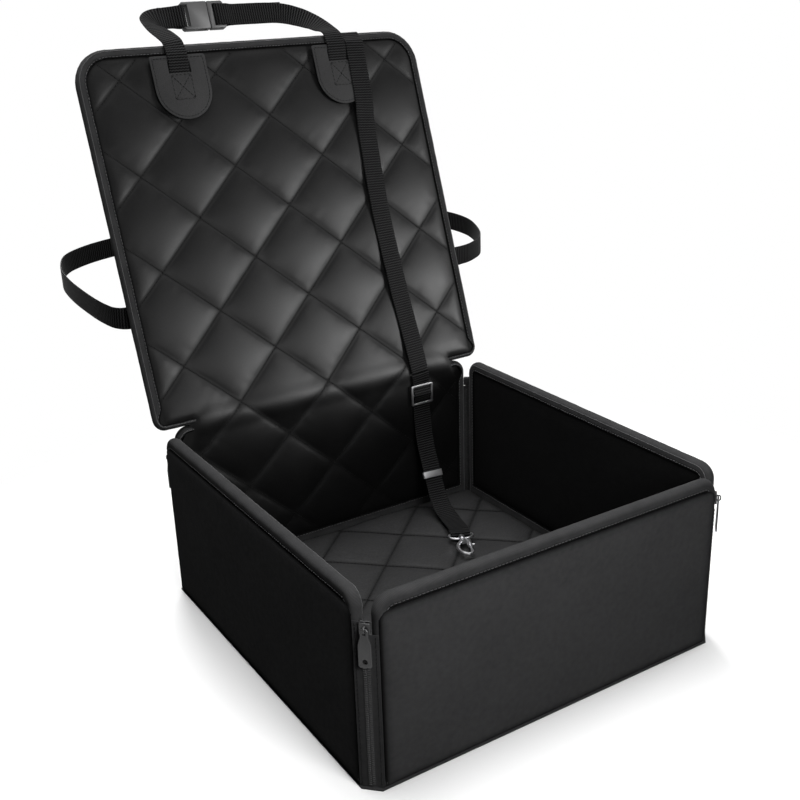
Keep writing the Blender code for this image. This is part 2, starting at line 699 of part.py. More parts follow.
def buckle_socket(name, frame, parent):
    """The female half: a flat socket with open sides and a bar for the strap."""
    start, end, face = -BUCKLE_HALF_LENGTH, SOCKET_MOUTH, BUCKLE_DEPTH / 2
    wide, deep, slot = SOCKET_WIDTH / 2, SOCKET_DEPTH / 2, SLOT_WIDTH / 2
    body = prism_mesh(name, buckle_outline(start, end, end - BUCKLE_ROUND), -face, face)
    socket = new_part(name, body, BUCKLE, frame, parent)
    add_bevel(socket, BUCKLE_ROUND)
    cut_boxes(socket, "cavity", [((SOCKET_FLOOR, -wide, -deep), (end + OVERRUN, wide, deep))])
    reach = BUCKLE_WIDTH / 2 + OVERRUN
    cut_boxes(socket, "windows", [((WINDOW_START, wide - OVERRUN, -deep), (WINDOW_END, reach, deep)),
                                  ((WINDOW_START, -reach, -deep), (WINDOW_END, OVERRUN - wide, deep))])
    slot_start, slot_end = start + BAR_THICKNESS, start + BAR_THICKNESS + SLOT_LENGTH
    relief, bar = slot_end + STRAP_RELIEF, BAR_DEPTH / 2
    cut_boxes(socket, "reliefs", [((start - OVERRUN, -slot, bar), (relief, slot, face + OVERRUN)),
                                  ((start - OVERRUN, -slot, -face - OVERRUN), (relief, slot, -bar))])
    cut_boxes(socket, "slot", [((slot_start, -slot, -bar - OVERRUN), (slot_end, slot, bar + OVERRUN))])


def buckle_plug(name, frame, parent):
    """The male half: two prongs, a middle tongue and a ladder of bars for the strap."""
    start, end, face = SOCKET_MOUTH + GAP, BUCKLE_HALF_LENGTH, BUCKLE_DEPTH / 2 - GAP
    pivot = new_pivot(f"{name}_slide", frame, parent)
    outline = [(start + end - x, y) for x, y in reversed(buckle_outline(start, end, end - BUCKLE_ROUND))]
    plug = new_part(name, prism_mesh(name, outline, -face, face), BUCKLE, frame, pivot)
    add_bevel(plug, BUCKLE_ROUND)
    deep, bar, slot = SOCKET_DEPTH / 2 - GAP, BAR_DEPTH / 2, SLOT_WIDTH / 2
    outer = SOCKET_WIDTH / 2 - GAP
    root = start + OVERRUN
    for part_name, low_y, high_y, tip in (("left", -outer, PRONG_WIDTH - outer, PRONG_TIP),
                                          ("right", outer - PRONG_WIDTH, outer, PRONG_TIP),
                                          ("tongue", -TONGUE_WIDTH / 2, TONGUE_WIDTH / 2, TONGUE_TIP)):
        arm = box_mesh(f"{name}_{part_name}", (tip, low_y, -deep), (root, high_y, deep))
        add_boolean(plug, arm, "UNION")
        plug.modifiers[-1].name = f"Join {part_name}"
    relief = start + PLUG_SHOULDER
    far, near = end + OVERRUN, relief + STRAP_RELIEF
    cut_boxes(plug, "reliefs", [((relief, -slot, bar), (far, slot, face + OVERRUN)),
                                ((relief, -slot, -face - OVERRUN), (far, slot, -bar))])
    second = end - BAR_THICKNESS
    cut_boxes(plug, "slots", [((near, -slot, -bar - OVERRUN), (near + SLOT_LENGTH, slot, bar + OVERRUN)),
                              ((near + SLOT_LENGTH + BAR_THICKNESS, -slot, -bar - OVERRUN),
                               (second, slot, bar + OVERRUN))])


WEB_PAIR_SHARE = 0.85
WEB_LAYER = BAR_DEPTH / 2 + GAP + WEB_THICKNESS
WEB_PAIR = WEB_THICKNESS * WEB_PAIR_SHARE


def socket_loop():
    """The strap's route round the socket's bar, from the strap to its sewn end, as (x, z)."""
    bend = -BUCKLE_HALF_LENGTH + BAR_THICKNESS + SLOT_LENGTH / 2
    outside = -BUCKLE_HALF_LENGTH - BAR_THICKNESS
    return [(outside - 2 * SLOT_LENGTH, WEB_PAIR), (outside, WEB_LAYER), (bend - SLOT_LENGTH / 2, WEB_LAYER),
            (bend, 0), (bend - SLOT_LENGTH / 2, -WEB_LAYER), (outside, -WEB_LAYER),
            (outside - 2 * SLOT_LENGTH, -WEB_PAIR), (outside - 5 * SLOT_LENGTH, -WEB_PAIR)]


def plug_loop(tail):
    """The strap's route round the plug's first bar, from its loose tail to the strap."""
    bend = SOCKET_MOUTH + GAP + PLUG_SHOULDER + STRAP_RELIEF + SLOT_LENGTH / 2
    outside = BUCKLE_HALF_LENGTH + BAR_THICKNESS
    return [(BUCKLE_HALF_LENGTH + tail, -WEB_PAIR), (outside + 2 * SLOT_LENGTH, -WEB_PAIR),
            (outside, -WEB_LAYER), (bend + SLOT_LENGTH / 2, -WEB_LAYER), (bend, 0),
            (bend + SLOT_LENGTH / 2, WEB_LAYER), (outside, WEB_LAYER),
            (outside + 2 * SLOT_LENGTH, WEB_PAIR)]


def loop_route(pairs, spot, across):
    return [((spot[0] + x, spot[1], spot[2] + z), across) for x, z in pairs]


def new_strap(name, route, frame, parent, per_span=3):
    """Webbing along a route of (place, direction across), in the frame's own axes."""
    mesh = web_mesh(name, [spot for spot, _ in route], [across for _, across in route], per_span)
    new_part(name, mesh, WEBBING, frame, parent, smooth=True)


# Leather patches and headrest strap, placed along the backrest: X across, Y up it, Z out of its face

PATCH_SPACING = 0.216
PATCH_TOP = 0.431
PATCH_HEIGHT = 0.076
PATCH_HALF_WIDTH = 0.035
PATCH_ROUND = 0.003
PATCH_THICKNESS = 0.0012
PATCH_SLOT_WIDTH = 0.028
PATCH_SLOT_HEIGHT = 0.014
PATCH_SLOT_DROP = 0.007
PATCH_STEPS = 14
PATCH_LEVEL = QUILT_CROWN + GAP + WEB_THICKNESS + GAP

RIGHT = (1, 0, 0)
LEFT = (-1, 0, 0)
DOWN = (0, -1, 0)
UP = (0, 1, 0)
HEADREST_BUCKLE_SPOT = (-0.046, 0.488, -0.036)
HEADREST_LEFT_ROUTE = [
    ((-0.108, 0.384, 0.0042), RIGHT), ((-0.108, 0.406, 0.0042), RIGHT), ((-0.108, 0.4105, 0.0044), RIGHT),
    ((-0.108, 0.417, 0.0058), RIGHT), ((-0.108, 0.4235, 0.0072), RIGHT), ((-0.108, 0.4320, 0.0074), RIGHT),
    ((-0.108, 0.441, 0.0048), RIGHT), ((-0.109, 0.4490, 0.0022), RIGHT), ((-0.112, 0.457, -0.0040), RIGHT),
    ((-0.117, 0.467, -0.0130), (1, -0.1, 0)), ((-0.120, 0.4771, -0.0229), (1, -0.4, 0)),
    ((-0.1177, 0.4825, -0.0294), (0.87, -0.7, 0.1)), ((-0.1115, 0.4865, -0.0342), (0.45, -0.9, 0.2)),
    ((-0.103, 0.488, -0.0355), (0.1, -1, 0.2))]
HEADREST_RIGHT_ROUTE = [
    ((0.020, 0.488, -0.0352), DOWN), ((0.045, 0.4875, -0.0350), DOWN), ((0.064, 0.485, -0.0335), (-0.2, -1, 0)),
    ((0.081, 0.4785, -0.0285), (-0.5, -0.8, 0)), ((0.095, 0.469, -0.0205), (-0.8, -0.5, 0)),
    ((0.103, 0.459, -0.0110), (-1, -0.3, 0)), ((0.107, 0.4505, -0.0010), LEFT), ((0.108, 0.4430, 0.0042), LEFT),
    ((0.108, 0.4320, 0.0074), LEFT), ((0.108, 0.4235, 0.0072), LEFT), ((0.108, 0.417, 0.0058), LEFT),
    ((0.108, 0.4105, 0.0044), LEFT), ((0.108, 0.406, 0.0042), LEFT), ((0.108, 0.384, 0.0042), LEFT)]
HEADREST_TAIL = 0.082


def build_patches(backrest):
    """Two leather patches, each with a slot that the headrest strap goes through."""
    radius, high = PATCH_HALF_WIDTH, PATCH_HEIGHT
    edge = arc((0, radius), radius, pi, 2 * pi, PATCH_STEPS)
    edge += arc((radius - PATCH_ROUND, high - PATCH_ROUND), PATCH_ROUND, 0, pi / 2, 2)
    edge += arc((PATCH_ROUND - radius, high - PATCH_ROUND), PATCH_ROUND, pi / 2, pi, 2)
    slot_top, slot_half = high - PATCH_SLOT_DROP, PATCH_SLOT_WIDTH / 2
    slot = mirrored([(slot_half, slot_top - PATCH_SLOT_HEIGHT), (slot_half, slot_top)])
    for place, side in (("left", -1), ("right", 1)):
        spot = (side * PATCH_SPACING / 2, PATCH_TOP - high, PATCH_LEVEL + PATCH_THICKNESS / 2)
        frame = backrest.matrix_world @ Matrix.Translation(spot)
        flat_piece(f"{place}_leather_patch", [edge, slot], PATCH_THICKNESS, LEATHER, frame, backrest)


def build_headrest_strap(backrest):
    frame = backrest.matrix_world.copy()
    buckle = frame @ Matrix.Translation(HEADREST_BUCKLE_SPOT)
    buckle_socket("headrest_buckle_socket", buckle, backrest)
    buckle_plug("headrest_buckle_plug", buckle, backrest)
    left = HEADREST_LEFT_ROUTE + loop_route(socket_loop(), HEADREST_BUCKLE_SPOT, DOWN)
    right = loop_route(plug_loop(HEADREST_TAIL), HEADREST_BUCKLE_SPOT, DOWN) + HEADREST_RIGHT_ROUTE
    new_strap("headrest_strap_left", left, frame, backrest)
    new_strap("headrest_strap_right", right, frame, backrest)


# Seat belt, placed from its buckle behind the backrest: X across, Y up, Z forward

BELT_STANDOFF = 0.3335
BELT_RISE = 0.1518
BELT_BUCKLE_SPOT = (0, HINGE_Y + BELT_STANDOFF, HINGE_HEIGHT + BELT_RISE)
BELT_DROP_SHARE = 0.1
BELT_TAIL = 0.075
BELT_LEFT_ROUTE = [
    (-0.196, 0.2744), (-0.210, 0.2742), (-0.222, 0.2735), (-0.238, 0.269), (-0.247, 0.253), (-0.254, 0.213),
    (-0.258, 0.153), (-0.254, 0.103), (-0.236, 0.058), (-0.205, 0.033), (-0.161, 0.016), (-0.100, 0.005)]
BELT_RIGHT_ROUTE = [
    (0.120, 0.006), (0.200, 0.023), (0.270, 0.058), (0.318, 0.113), (0.333, 0.163), (0.322, 0.208),
    (0.300, 0.246), (0.270, 0.266), (0.245, 0.2725), (0.225, 0.2740), (0.212, 0.2743), (0.200, 0.2744)]
BELT_LAID_POINTS = 3


def belt_route(places, laid_first):
    """The belt hangs upright, but where it is sewn on it leans with the backrest."""
    leaning = (0, cos(BACKREST_LEAN), -sin(BACKREST_LEAN))
    laid = BELT_LAID_POINTS
    across = [leaning] * laid + [UP] * (len(places) - laid)
    if not laid_first:
        across.reverse()
    return [((x, -BELT_DROP_SHARE * forward, forward), way) for (x, forward), way in zip(places, across)]


def build_seat_belt(backrest):
    frame = panel_frame(BELT_BUCKLE_SPOT, 0)
    buckle_socket("seat_belt_buckle_socket", frame, backrest)
    buckle_plug("seat_belt_buckle_plug", frame, backrest)
    left = belt_route(BELT_LEFT_ROUTE, True) + loop_route(socket_loop(), (0, 0, 0), UP)
    right = loop_route(plug_loop(BELT_TAIL), (0, 0, 0), UP) + belt_route(BELT_RIGHT_ROUTE, False)
    new_strap("seat_belt_left", left, frame, backrest)
    new_strap("seat_belt_right", right, frame, backrest)


# Tether: over the backrest's top, down its front and the back wall, then across the floor.
# The lower route counts its depth from the back wall's inner face.

TETHER_UPPER_ROUTE = [
    ((0.135, 0.400, -0.0141), RIGHT), ((0.135, 0.425, -0.0141), RIGHT), ((0.135, 0.440, -0.0141), RIGHT),
    ((0.135, 0.4455, -0.0118), RIGHT), ((0.135, 0.4472, -0.0065), RIGHT), ((0.135, 0.4456, -0.0012), RIGHT),
    ((0.135, 0.4410, 0.0014), RIGHT), ((0.135, 0.4365, 0.0045), RIGHT), ((0.135, 0.4320, 0.0073), RIGHT),
    ((0.1347, 0.424, 0.0076), RIGHT), ((0.1335, 0.385, 0.0076), RIGHT), ((0.132, 0.355, 0.0075), RIGHT),
    ((0.130, 0.335, 0.0058), RIGHT), ((0.1275, 0.300, 0.0048), RIGHT), ((0.124, 0.210, 0.0046), RIGHT),
    ((0.1265, 0.110, 0.0046), RIGHT), ((0.131, 0.030, 0.0046), RIGHT), ((0.132, 0.008, 0.0044), RIGHT),
    ((0.1326, 0.001, 0.0040), RIGHT), ((0.133, -0.0050, 0.0031), RIGHT)]
TETHER_LOWER_ROUTE = [
    ((0.1332, -0.0046, 0.2058), RIGHT), ((0.134, -0.0045, 0.196), RIGHT), ((0.134, -0.0045, 0.1876), RIGHT),
    ((0.134, -0.0065, 0.1830), RIGHT), ((0.134, -0.0086, 0.1787), RIGHT), ((0.134, -0.0086, 0.1753), RIGHT),
    ((0.134, -0.0065, 0.1710), RIGHT), ((0.134, -0.0045, 0.1664), RIGHT), ((0.134, -0.0050, 0.150), RIGHT),
    ((0.134, -0.0085, 0.1220), RIGHT), ((0.1336, -0.0155, 0.1), RIGHT), ((0.1333, -0.0228, 0.0833), RIGHT),
    ((0.1328, -0.0273, 0.0743), RIGHT), ((0.1322, -0.0327, 0.0637), RIGHT), ((0.1317, -0.0372, 0.0547), RIGHT),
    ((0.1304, -0.0470, 0.0405), (1, -0.05, 0)), ((0.128, -0.0615, 0.0305), (1, -0.15, 0)),
    ((0.1255, -0.0805, 0.0250), (1, -0.3, 0))]
KEEPER_POINT = 12
ADJUSTER_SPOT = (0.134, HINGE_Y - 0.0065, 0.177)
ADJUSTER_WIDTH = 0.034
ADJUSTER_HEIGHT = 0.028
ADJUSTER_BAR = 0.0026
ADJUSTER_SIDE = 0.0032
ADJUSTER_THICKNESS = 0.0020
ADJUSTER_ROUND = 0.0020
KEEPER_LENGTH = 0.0085
KEEPER_WALL = 0.0009
KEEPER_CLEARANCE = 0.0004

HOOK_SPOT = (0.112, HINGE_Y - 0.1225, 0.0232)
HOOK_TURN = radians(-114.8)
EYE_REACH = 0.011
EYE_HALF_WIDTH = 0.0155
EYE_WIRE = 0.00175
EYE_SHARES = ((1, 0.21), (0.97, 0.5), (0.82, 0.8), (0.55, 0.97), (0.3, 1), (0.08, 0.96), (0, 0.87))
HUB_RADIUS = 0.0042
HUB_LENGTH = 0.0060
POST_RADIUS = 0.0020
POST_HEAD_RADIUS = 0.0034
POST_HEAD_LENGTH = 0.0024
HOOK_REACH = 0.0525
HOOK_HALF_WIDTH = 0.009
HOOK_WIRE = 0.0023
HOOK_SHARES = ((0.333, -0.11), (0.4, -0.5), (0.514, -0.88), (0.686, -1), (0.838, -0.844),
               (0.952, -0.356), (1, 0.167), (0.97, 0.6), (0.92, 0.778), (0.857, 0.778))
BARREL_OFFSET_SHARE = 0.778
BARREL_START = 0.0170
BARREL_LENGTH = 0.0150
BARREL_RADIUS = 0.0032
BARREL_END_WALL = 0.0020
BOLT_RADIUS = 0.0016
BOLT_TRAVEL = 0.0080
KNOB_RADIUS = 0.0011
KNOB_HEIGHT = 0.0060
SHOULDER_RADIUS = 0.0032
BRIDGE_LENGTH = 0.0035
BRIDGE_THICKNESS = 0.0052


def round_loop(inner_radius):
    """The webbing's way round the eye's bar and back under itself, as (x, z)."""
    reach = inner_radius + WEB_THICKNESS / 2
    bend = [(reach * sin(a), reach * cos(a)) for a in (0, pi / 4, pi / 2, 3 * pi / 4, pi)]
    ends = [(-2 * WEB_WIDTH / 3, WEB_PAIR), (-WEB_WIDTH / 3, WEB_PAIR)]
    return ends + bend + [(x, -z) for x, z in reversed(ends)]


def build_tether(floor, backrest, hook):
    new_strap("tether_upper", TETHER_UPPER_ROUTE, backrest.matrix_world.copy(), backrest, 2)
    wall_face = Matrix.Translation((0, HINGE_Y, 0))
    across = hook.col[1].to_3d()
    loop = [(wall_face.inverted() @ hook @ Vector((x, 0, z)), across) for x, z in round_loop(EYE_WIRE + GAP)]
    new_strap("tether_lower", TETHER_LOWER_ROUTE + loop, wall_face, floor, 2)
    adjuster = panel_frame(ADJUSTER_SPOT, 0)
    pivot = new_pivot("tether_adjuster_slide", adjuster, floor)
    half_x, half_y = ADJUSTER_WIDTH / 2, ADJUSTER_HEIGHT / 2
    outline = rounded_outline(half_x, -half_y, half_y, ADJUSTER_ROUND, ADJUSTER_ROUND, 2)
    inner, top, foot = half_x - ADJUSTER_SIDE, half_y - ADJUSTER_BAR, ADJUSTER_BAR / 2
    slots = [mirrored([(inner, side * foot), (inner, side * top)]) for side in (-1, 1)]
    flat_piece("tether_adjuster", [outline, *slots], ADJUSTER_THICKNESS, DARK_METAL, adjuster, pivot)
    first, second = (wall_face @ Vector(TETHER_LOWER_ROUTE[KEEPER_POINT + i][0]) for i in (0, 1))
    along = (second - first).normalized()
    side = (Vector(RIGHT) - along * along.x).normalized()
    keeper = Matrix((side, along.cross(side), along)).transposed().to_4x4()
    keeper.translation = (first + second) / 2
    hole_x, hole_y = WEB_WIDTH / 2 + KEEPER_CLEARANCE, WEB_THICKNESS / 2 + KEEPER_CLEARANCE
    rings = [mirrored([(hole_x + wall, -hole_y - wall), (hole_x + wall, hole_y + wall)])
             for wall in (KEEPER_WALL, 0)]
    flat_piece("tether_keeper", rings, KEEPER_LENGTH, BRIGHT_METAL, keeper, floor)


def build_hook(floor):
    """A swivel snap hook: an eye for the webbing, the hook, and a spring bolt across its mouth."""
    frame = Matrix.Translation(HOOK_SPOT) @ Matrix.Rotation(HOOK_TURN, 4, "Z")
    hub_start = EYE_REACH - HUB_LENGTH / 2
    eye = new_part("hook_swivel_eye", cylinder_mesh("hook_eye_hub", HUB_RADIUS, hub_start, hub_start + HUB_LENGTH),
                   BRIGHT_METAL, frame, floor, smooth=True)
    half_bow = [(EYE_REACH * x, EYE_HALF_WIDTH * y, 0) for x, y in EYE_SHARES]
    bow = half_bow + [(x, -y, z) for x, y, z in reversed(half_bow)]
    add_boolean(eye, wire_mesh("hook_eye_bow", bow, EYE_WIRE), "UNION")
    bore = cylinder_mesh("hook_eye_bore", POST_RADIUS + GAP, hub_start - OVERRUN, hub_start + HUB_LENGTH + OVERRUN)
    add_boolean(eye, bore, "DIFFERENCE")

    swivel = new_pivot("hook_swivel", frame, floor)
    shoulder_start = hub_start + HUB_LENGTH + GAP
    offset = HOOK_HALF_WIDTH * BARREL_OFFSET_SHARE
    body = new_part("hook_body", cylinder_mesh("hook_shoulder", SHOULDER_RADIUS, shoulder_start,
                                               BARREL_START + BRIDGE_LENGTH),
                    BRIGHT_METAL, frame, swivel, smooth=True)
    bridge = box_mesh("hook_bridge", (BARREL_START, -POST_RADIUS, -BRIDGE_THICKNESS / 2),
                      (BARREL_START + BRIDGE_LENGTH, offset, BRIDGE_THICKNESS / 2))
    head_start = hub_start - GAP - POST_HEAD_LENGTH
    barrel = cylinder_mesh("hook_barrel", BARREL_RADIUS, BARREL_START, BARREL_START + BARREL_LENGTH)
    post = cylinder_mesh("hook_post", POST_RADIUS, hub_start - GAP - POST_HEAD_LENGTH / 2, BARREL_START)
    wire = [(HOOK_REACH * x, HOOK_HALF_WIDTH * y, 0) for x, y in HOOK_SHARES]
    joins = [("bridge", bridge), ("barrel", shifted(barrel, (0, offset, 0))), ("post", post),
             ("head", cylinder_mesh("hook_post_head", POST_HEAD_RADIUS, head_start, hub_start - GAP)),
             ("wire", wire_mesh("hook_wire", wire, HOOK_WIRE))]
    for _, mesh in joins:
        add_boolean(body, mesh, "UNION")
    bore_start = BARREL_START + BARREL_END_WALL
    barrel_end = BARREL_START + BARREL_LENGTH
    bolt_bore = cylinder_mesh("hook_bolt_bore", BOLT_RADIUS + GAP, bore_start, barrel_end + OVERRUN)
    add_boolean(body, shifted(bolt_bore, (0, offset, 0)), "DIFFERENCE")
    knob_half = KNOB_RADIUS + GAP
    slot = box_mesh("hook_knob_slot", (bore_start, offset, -knob_half),
                    (barrel_end - BARREL_END_WALL, offset + BARREL_RADIUS + OVERRUN, knob_half))
    add_boolean(body, slot, "DIFFERENCE")

    slide = new_pivot("hook_bolt_slide", frame @ Matrix.Translation((0, offset, 0)), swivel)
    rear = bore_start + GAP + BOLT_TRAVEL
    tip = HOOK_REACH * HOOK_SHARES[-1][0] - GAP
    bolt = new_part("hook_bolt", cylinder_mesh("hook_bolt", BOLT_RADIUS, rear, tip), BRIGHT_METAL,
                    slide.matrix_world.copy(), slide, smooth=True)
    knob = cylinder_mesh("hook_knob", KNOB_RADIUS, 0, KNOB_HEIGHT)
    knob.transform(Matrix.Translation((rear + KNOB_RADIUS + GAP, 0, 0)) @ Matrix.Rotation(pi / 2, 4, "Z"))
    add_boolean(bolt, knob, "UNION")
    return frame


def build_all():
    floor = build_floor()
    walls = build_walls(floor)
    backrest = build_backrest(walls["back_wall"])
    build_zips(walls)
    build_patches(backrest)
    build_headrest_strap(backrest)
    build_seat_belt(backrest)
    hook = build_hook(floor)
    build_tether(floor, backrest, hook)


build_all()
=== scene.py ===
import json
from math import atan2, ceil, cos, exp, floor, hypot, pi, radians, sin, sqrt

import bmesh
import bpy
import numpy as np
from mathutils import Matrix, Vector, noise


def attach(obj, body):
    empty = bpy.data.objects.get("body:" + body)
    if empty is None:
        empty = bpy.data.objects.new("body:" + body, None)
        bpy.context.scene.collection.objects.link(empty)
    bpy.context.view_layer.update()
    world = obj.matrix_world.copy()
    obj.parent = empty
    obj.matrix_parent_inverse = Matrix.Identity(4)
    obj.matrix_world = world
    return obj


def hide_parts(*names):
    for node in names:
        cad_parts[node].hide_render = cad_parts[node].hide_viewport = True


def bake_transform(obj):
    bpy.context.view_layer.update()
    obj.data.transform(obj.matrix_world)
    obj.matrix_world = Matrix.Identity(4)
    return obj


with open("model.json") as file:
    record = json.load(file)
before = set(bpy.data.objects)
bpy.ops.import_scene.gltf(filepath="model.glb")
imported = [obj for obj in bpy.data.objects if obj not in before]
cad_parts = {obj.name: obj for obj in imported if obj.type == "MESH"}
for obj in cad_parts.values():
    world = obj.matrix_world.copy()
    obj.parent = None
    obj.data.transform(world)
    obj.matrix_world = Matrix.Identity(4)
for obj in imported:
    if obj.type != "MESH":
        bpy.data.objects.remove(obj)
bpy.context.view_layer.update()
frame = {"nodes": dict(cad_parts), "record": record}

mm = 0.001
gap = 0.0003  # between pieces that lie on each other
hair = 1e-6


def show(name, data):
    item = bpy.data.objects.new(name, data)
    bpy.context.scene.collection.objects.link(item)
    return item


# camera at the photograph's angle

cameraSetup = {"place": (-0.6239, -0.9491, 0.7083), "right": (0.8424, -0.538, -0.0305),
               "back": (-0.4924, -0.7915, 0.3621), "lens": 50.07, "sensor": 36, "clip": (0.05, 60)}


def makeCamera(setup):
    data = bpy.data.cameras.new("camera")
    data.lens, data.sensor_width = setup["lens"], setup["sensor"]
    data.clip_start, data.clip_end = setup["clip"]
    camera = show("camera", data)
    back = Vector(setup["back"]).normalized()
    right = Vector(setup["right"])
    right = (right - back * right.dot(back)).normalized()
    turned = Matrix((right, back.cross(right), back)).transposed().to_4x4()
    camera.matrix_world = Matrix.Translation(setup["place"]) @ turned
    bpy.context.scene.camera = camera


makeCamera(cameraSetup)


# shader arithmetic: a socket that can be written on like a number

class Signal:
    def __init__(self, tree, socket):
        self.tree, self.socket = tree, socket

    def maths(self, operation, first, second=0.0):
        return self.tree.node("ShaderNodeMath", {"operation": operation}, {0: first, 1: second})

    def __add__(self, other): return self.maths("ADD", self, other)
    def __radd__(self, other): return self.maths("ADD", other, self)
    def __sub__(self, other): return self.maths("SUBTRACT", self, other)
    def __rsub__(self, other): return self.maths("SUBTRACT", other, self)
    def __mul__(self, other): return self.maths("MULTIPLY", self, other)
    def __rmul__(self, other): return self.maths("MULTIPLY", other, self)
    def __truediv__(self, other): return self.maths("DIVIDE", self, other)
    def __pow__(self, other): return self.maths("POWER", self, other)

    def wave(self, pitch):  # 0 to 1, once every pitch
        return self.maths("SINE", self * (2 * pi / pitch)) * 0.5 + 0.5

    def clamp(self):
        return self.maths("MINIMUM", self.maths("MAXIMUM", self, 0.0), 1.0)


class Tree:
    def __init__(self, nodeTree):
        self.nodes, self.links = nodeTree.nodes, nodeTree.links

    def node(self, kind, settings=None, inputs=None, output=0):
        made = self.nodes.new(kind)
        for key, value in (settings or {}).items():
            setattr(made, key, value)
        for key, value in (inputs or {}).items():
            self.plug(made.inputs[key], value)
        return Signal(self, made.outputs[output] if made.outputs else None)

    def plug(self, socket, value):
        if isinstance(value, Signal):
            self.links.new(value.socket, socket)
        else:
            socket.default_value = value

    def seen(self):  # 1 for the camera and in reflections, 0 for the light on the object
        rays = [self.node("ShaderNodeLightPath", output=name)
                for name in ("Is Camera Ray", "Is Glossy Ray", "Is Transmission Ray")]
        return (rays[0] + rays[1] + rays[2]).clamp()


class Finish(Tree):
    def __init__(self, name, fixed):
        self.material = bpy.data.materials.new(name)
        self.material.use_nodes = True
        super().__init__(self.material.node_tree)
        self.shader = self.nodes["Principled BSDF"]
        for socket, value in fixed.items():
            self.shader.inputs[socket].default_value = value

    def feed(self, **values):
        for socket, value in values.items():
            self.plug(self.shader.inputs[socket.replace("_", " ")], value)

    def axes(self, place):
        return [self.node("ShaderNodeSeparateXYZ", None, {0: place}, output=i) for i in range(3)], place

    def grain(self):  # metres across, along and through the piece's own cloth
        return self.axes(self.node("ShaderNodeAttribute", {"attribute_name": "grain"}, output="Vector"))

    def place(self):
        return self.axes(self.node("ShaderNodeTexCoord", output="Object"))

    def cloud(self, vector, scale, detail=3.0, rough=0.55):
        return self.node("ShaderNodeTexNoise", {"noise_dimensions": "3D"},
                         {"Vector": vector, "Scale": scale, "Detail": detail, "Roughness": rough})

    def tint(self, factor, dark, light):
        return self.node("ShaderNodeMix", {"data_type": "RGBA"}, {0: factor, 6: dark, 7: light}, output=2)

    def paintedShade(self):  # painted shade: 1 deep in a seam or groove, 0 on the open cloth
        return self.node("ShaderNodeAttribute", {"attribute_name": "paintedShade"}, output="Fac")

    def dress(self, look, tone, rough, height, paintSeamShade=False, strength=1.0):
        colour = self.tint(tone, grey(look["dark"]), grey(look["light"]))
        # painted shade: the colour goes towards near-black in seams and grooves, where shade falls
        if paintSeamShade:
            colour = self.tint(self.paintedShade(), colour, grey(paintedShadeBlack, 1.0))
        bump = self.node("ShaderNodeBump", None, {"Height": height, "Distance": look["depth"], "Strength": strength})
        self.feed(Base_Color=colour, Roughness=look["rough"] + rough, Normal=bump)
        return self.material


def grey(level, cool=1.02):
    return (level, level, level * cool, 1)


# the near-black that painted shade in seams and grooves mixes to
paintedShadeBlack = 0.0012


# finishes

canvasLook = {"dark": 0.030, "light": 0.066, "pitch": 0.9 * mm, "depth": 0.06 * mm, "rough": 0.58}
# the wall linings: the same canvas painted darker, a painted shade for the inside of the box
liningShadedLook = {**canvasLook, "dark": 0.004, "light": 0.010}
zipTapeLook = {"dark": 0.026, "light": 0.060, "pitch": 0.7 * mm, "depth": 0.05 * mm, "rough": 0.55}


def canvasFinish(name, look):
    made = Finish(name, {"Specular IOR Level": 0.0, "Sheen Weight": 0.01, "Sheen Roughness": 0.45})
    (x, y, _), place = made.grain()
    threads = x.wave(look["pitch"]) * y.wave(look["pitch"] * 1.1)
    slub, mottle = made.cloud(place, 160.0, 2.0), made.cloud(place, 14.0)
    tone = (threads * 0.55 + slub * 0.5 + mottle * 0.35 - 0.18).clamp()
    # painted shade in the canvas's seams and edge grooves
    return made.dress(look, tone, mottle * 0.14, threads * 0.7 + slub * 0.5, paintSeamShade=True)


quiltLook = {"dark": 0.002, "light": 0.010, "pitch": 1.15 * mm, "depth": 0.03 * mm, "rough": 0.36, "gloss": 0.06}
# the floor cushion: the same quilted cloth painted lighter, a painted light for the lamps' light on the floor
floorPaintedLightLook = {**quiltLook, "dark": 0.016, "light": 0.058, "rough": 0.34, "gloss": 0.10}


def quiltFinish(name, look):
    made = Finish(name, {"Specular IOR Level": look["gloss"], "Sheen Weight": 0.01, "Sheen Roughness": 0.35})
    (x, y, _), place = made.grain()
    warp = x.wave(look["pitch"]) * (y.wave(look["pitch"] * 2.0) * 0.5 + 0.5)
    weft = y.wave(look["pitch"] * 0.9)
    fleck, patchy = made.cloud(place, 420.0, 2.0, 0.6), made.cloud(place, 22.0)
    tone = (warp * 0.35 + weft * 0.2 + fleck * 0.75 + patchy * 0.2 - 0.42).clamp()
    # painted shade in the quilt's seams and edge grooves, where the cloth is also rougher
    return made.dress(look, tone, patchy * 0.12 + made.paintedShade() * 0.4, warp * 0.6 + weft * 0.4 + fleck * 0.4, paintSeamShade=True)


tapeLook = {"dark": 0.018, "light": 0.062, "pitch": 1.2 * mm, "strand": 0.55 * mm, "depth": 0.10 * mm, "rough": 0.55}


def tapeFinish(name, look):
    made = Finish(name, {"Specular IOR Level": 0.0, "Sheen Weight": 0.02, "Sheen Roughness": 0.4})
    (x, y, _), place = made.grain()
    ribs, strands = x.wave(look["pitch"]), y.wave(look["strand"])
    wear = made.cloud(place, 55.0)
    tone = (ribs * 0.55 + strands * 0.2 + wear * 0.5 - 0.2).clamp()
    # painted shade on the tape's hem by the groove and on its hidden back
    return made.dress(look, tone, wear * 0.15, ribs * 0.8 + strands * 0.25, paintSeamShade=True)


webLook = {"dark": 0.0015, "light": 0.034, "rib": 3.2 * mm, "strand": 2.0 * mm, "depth": 0.20 * mm, "rough": 0.42}


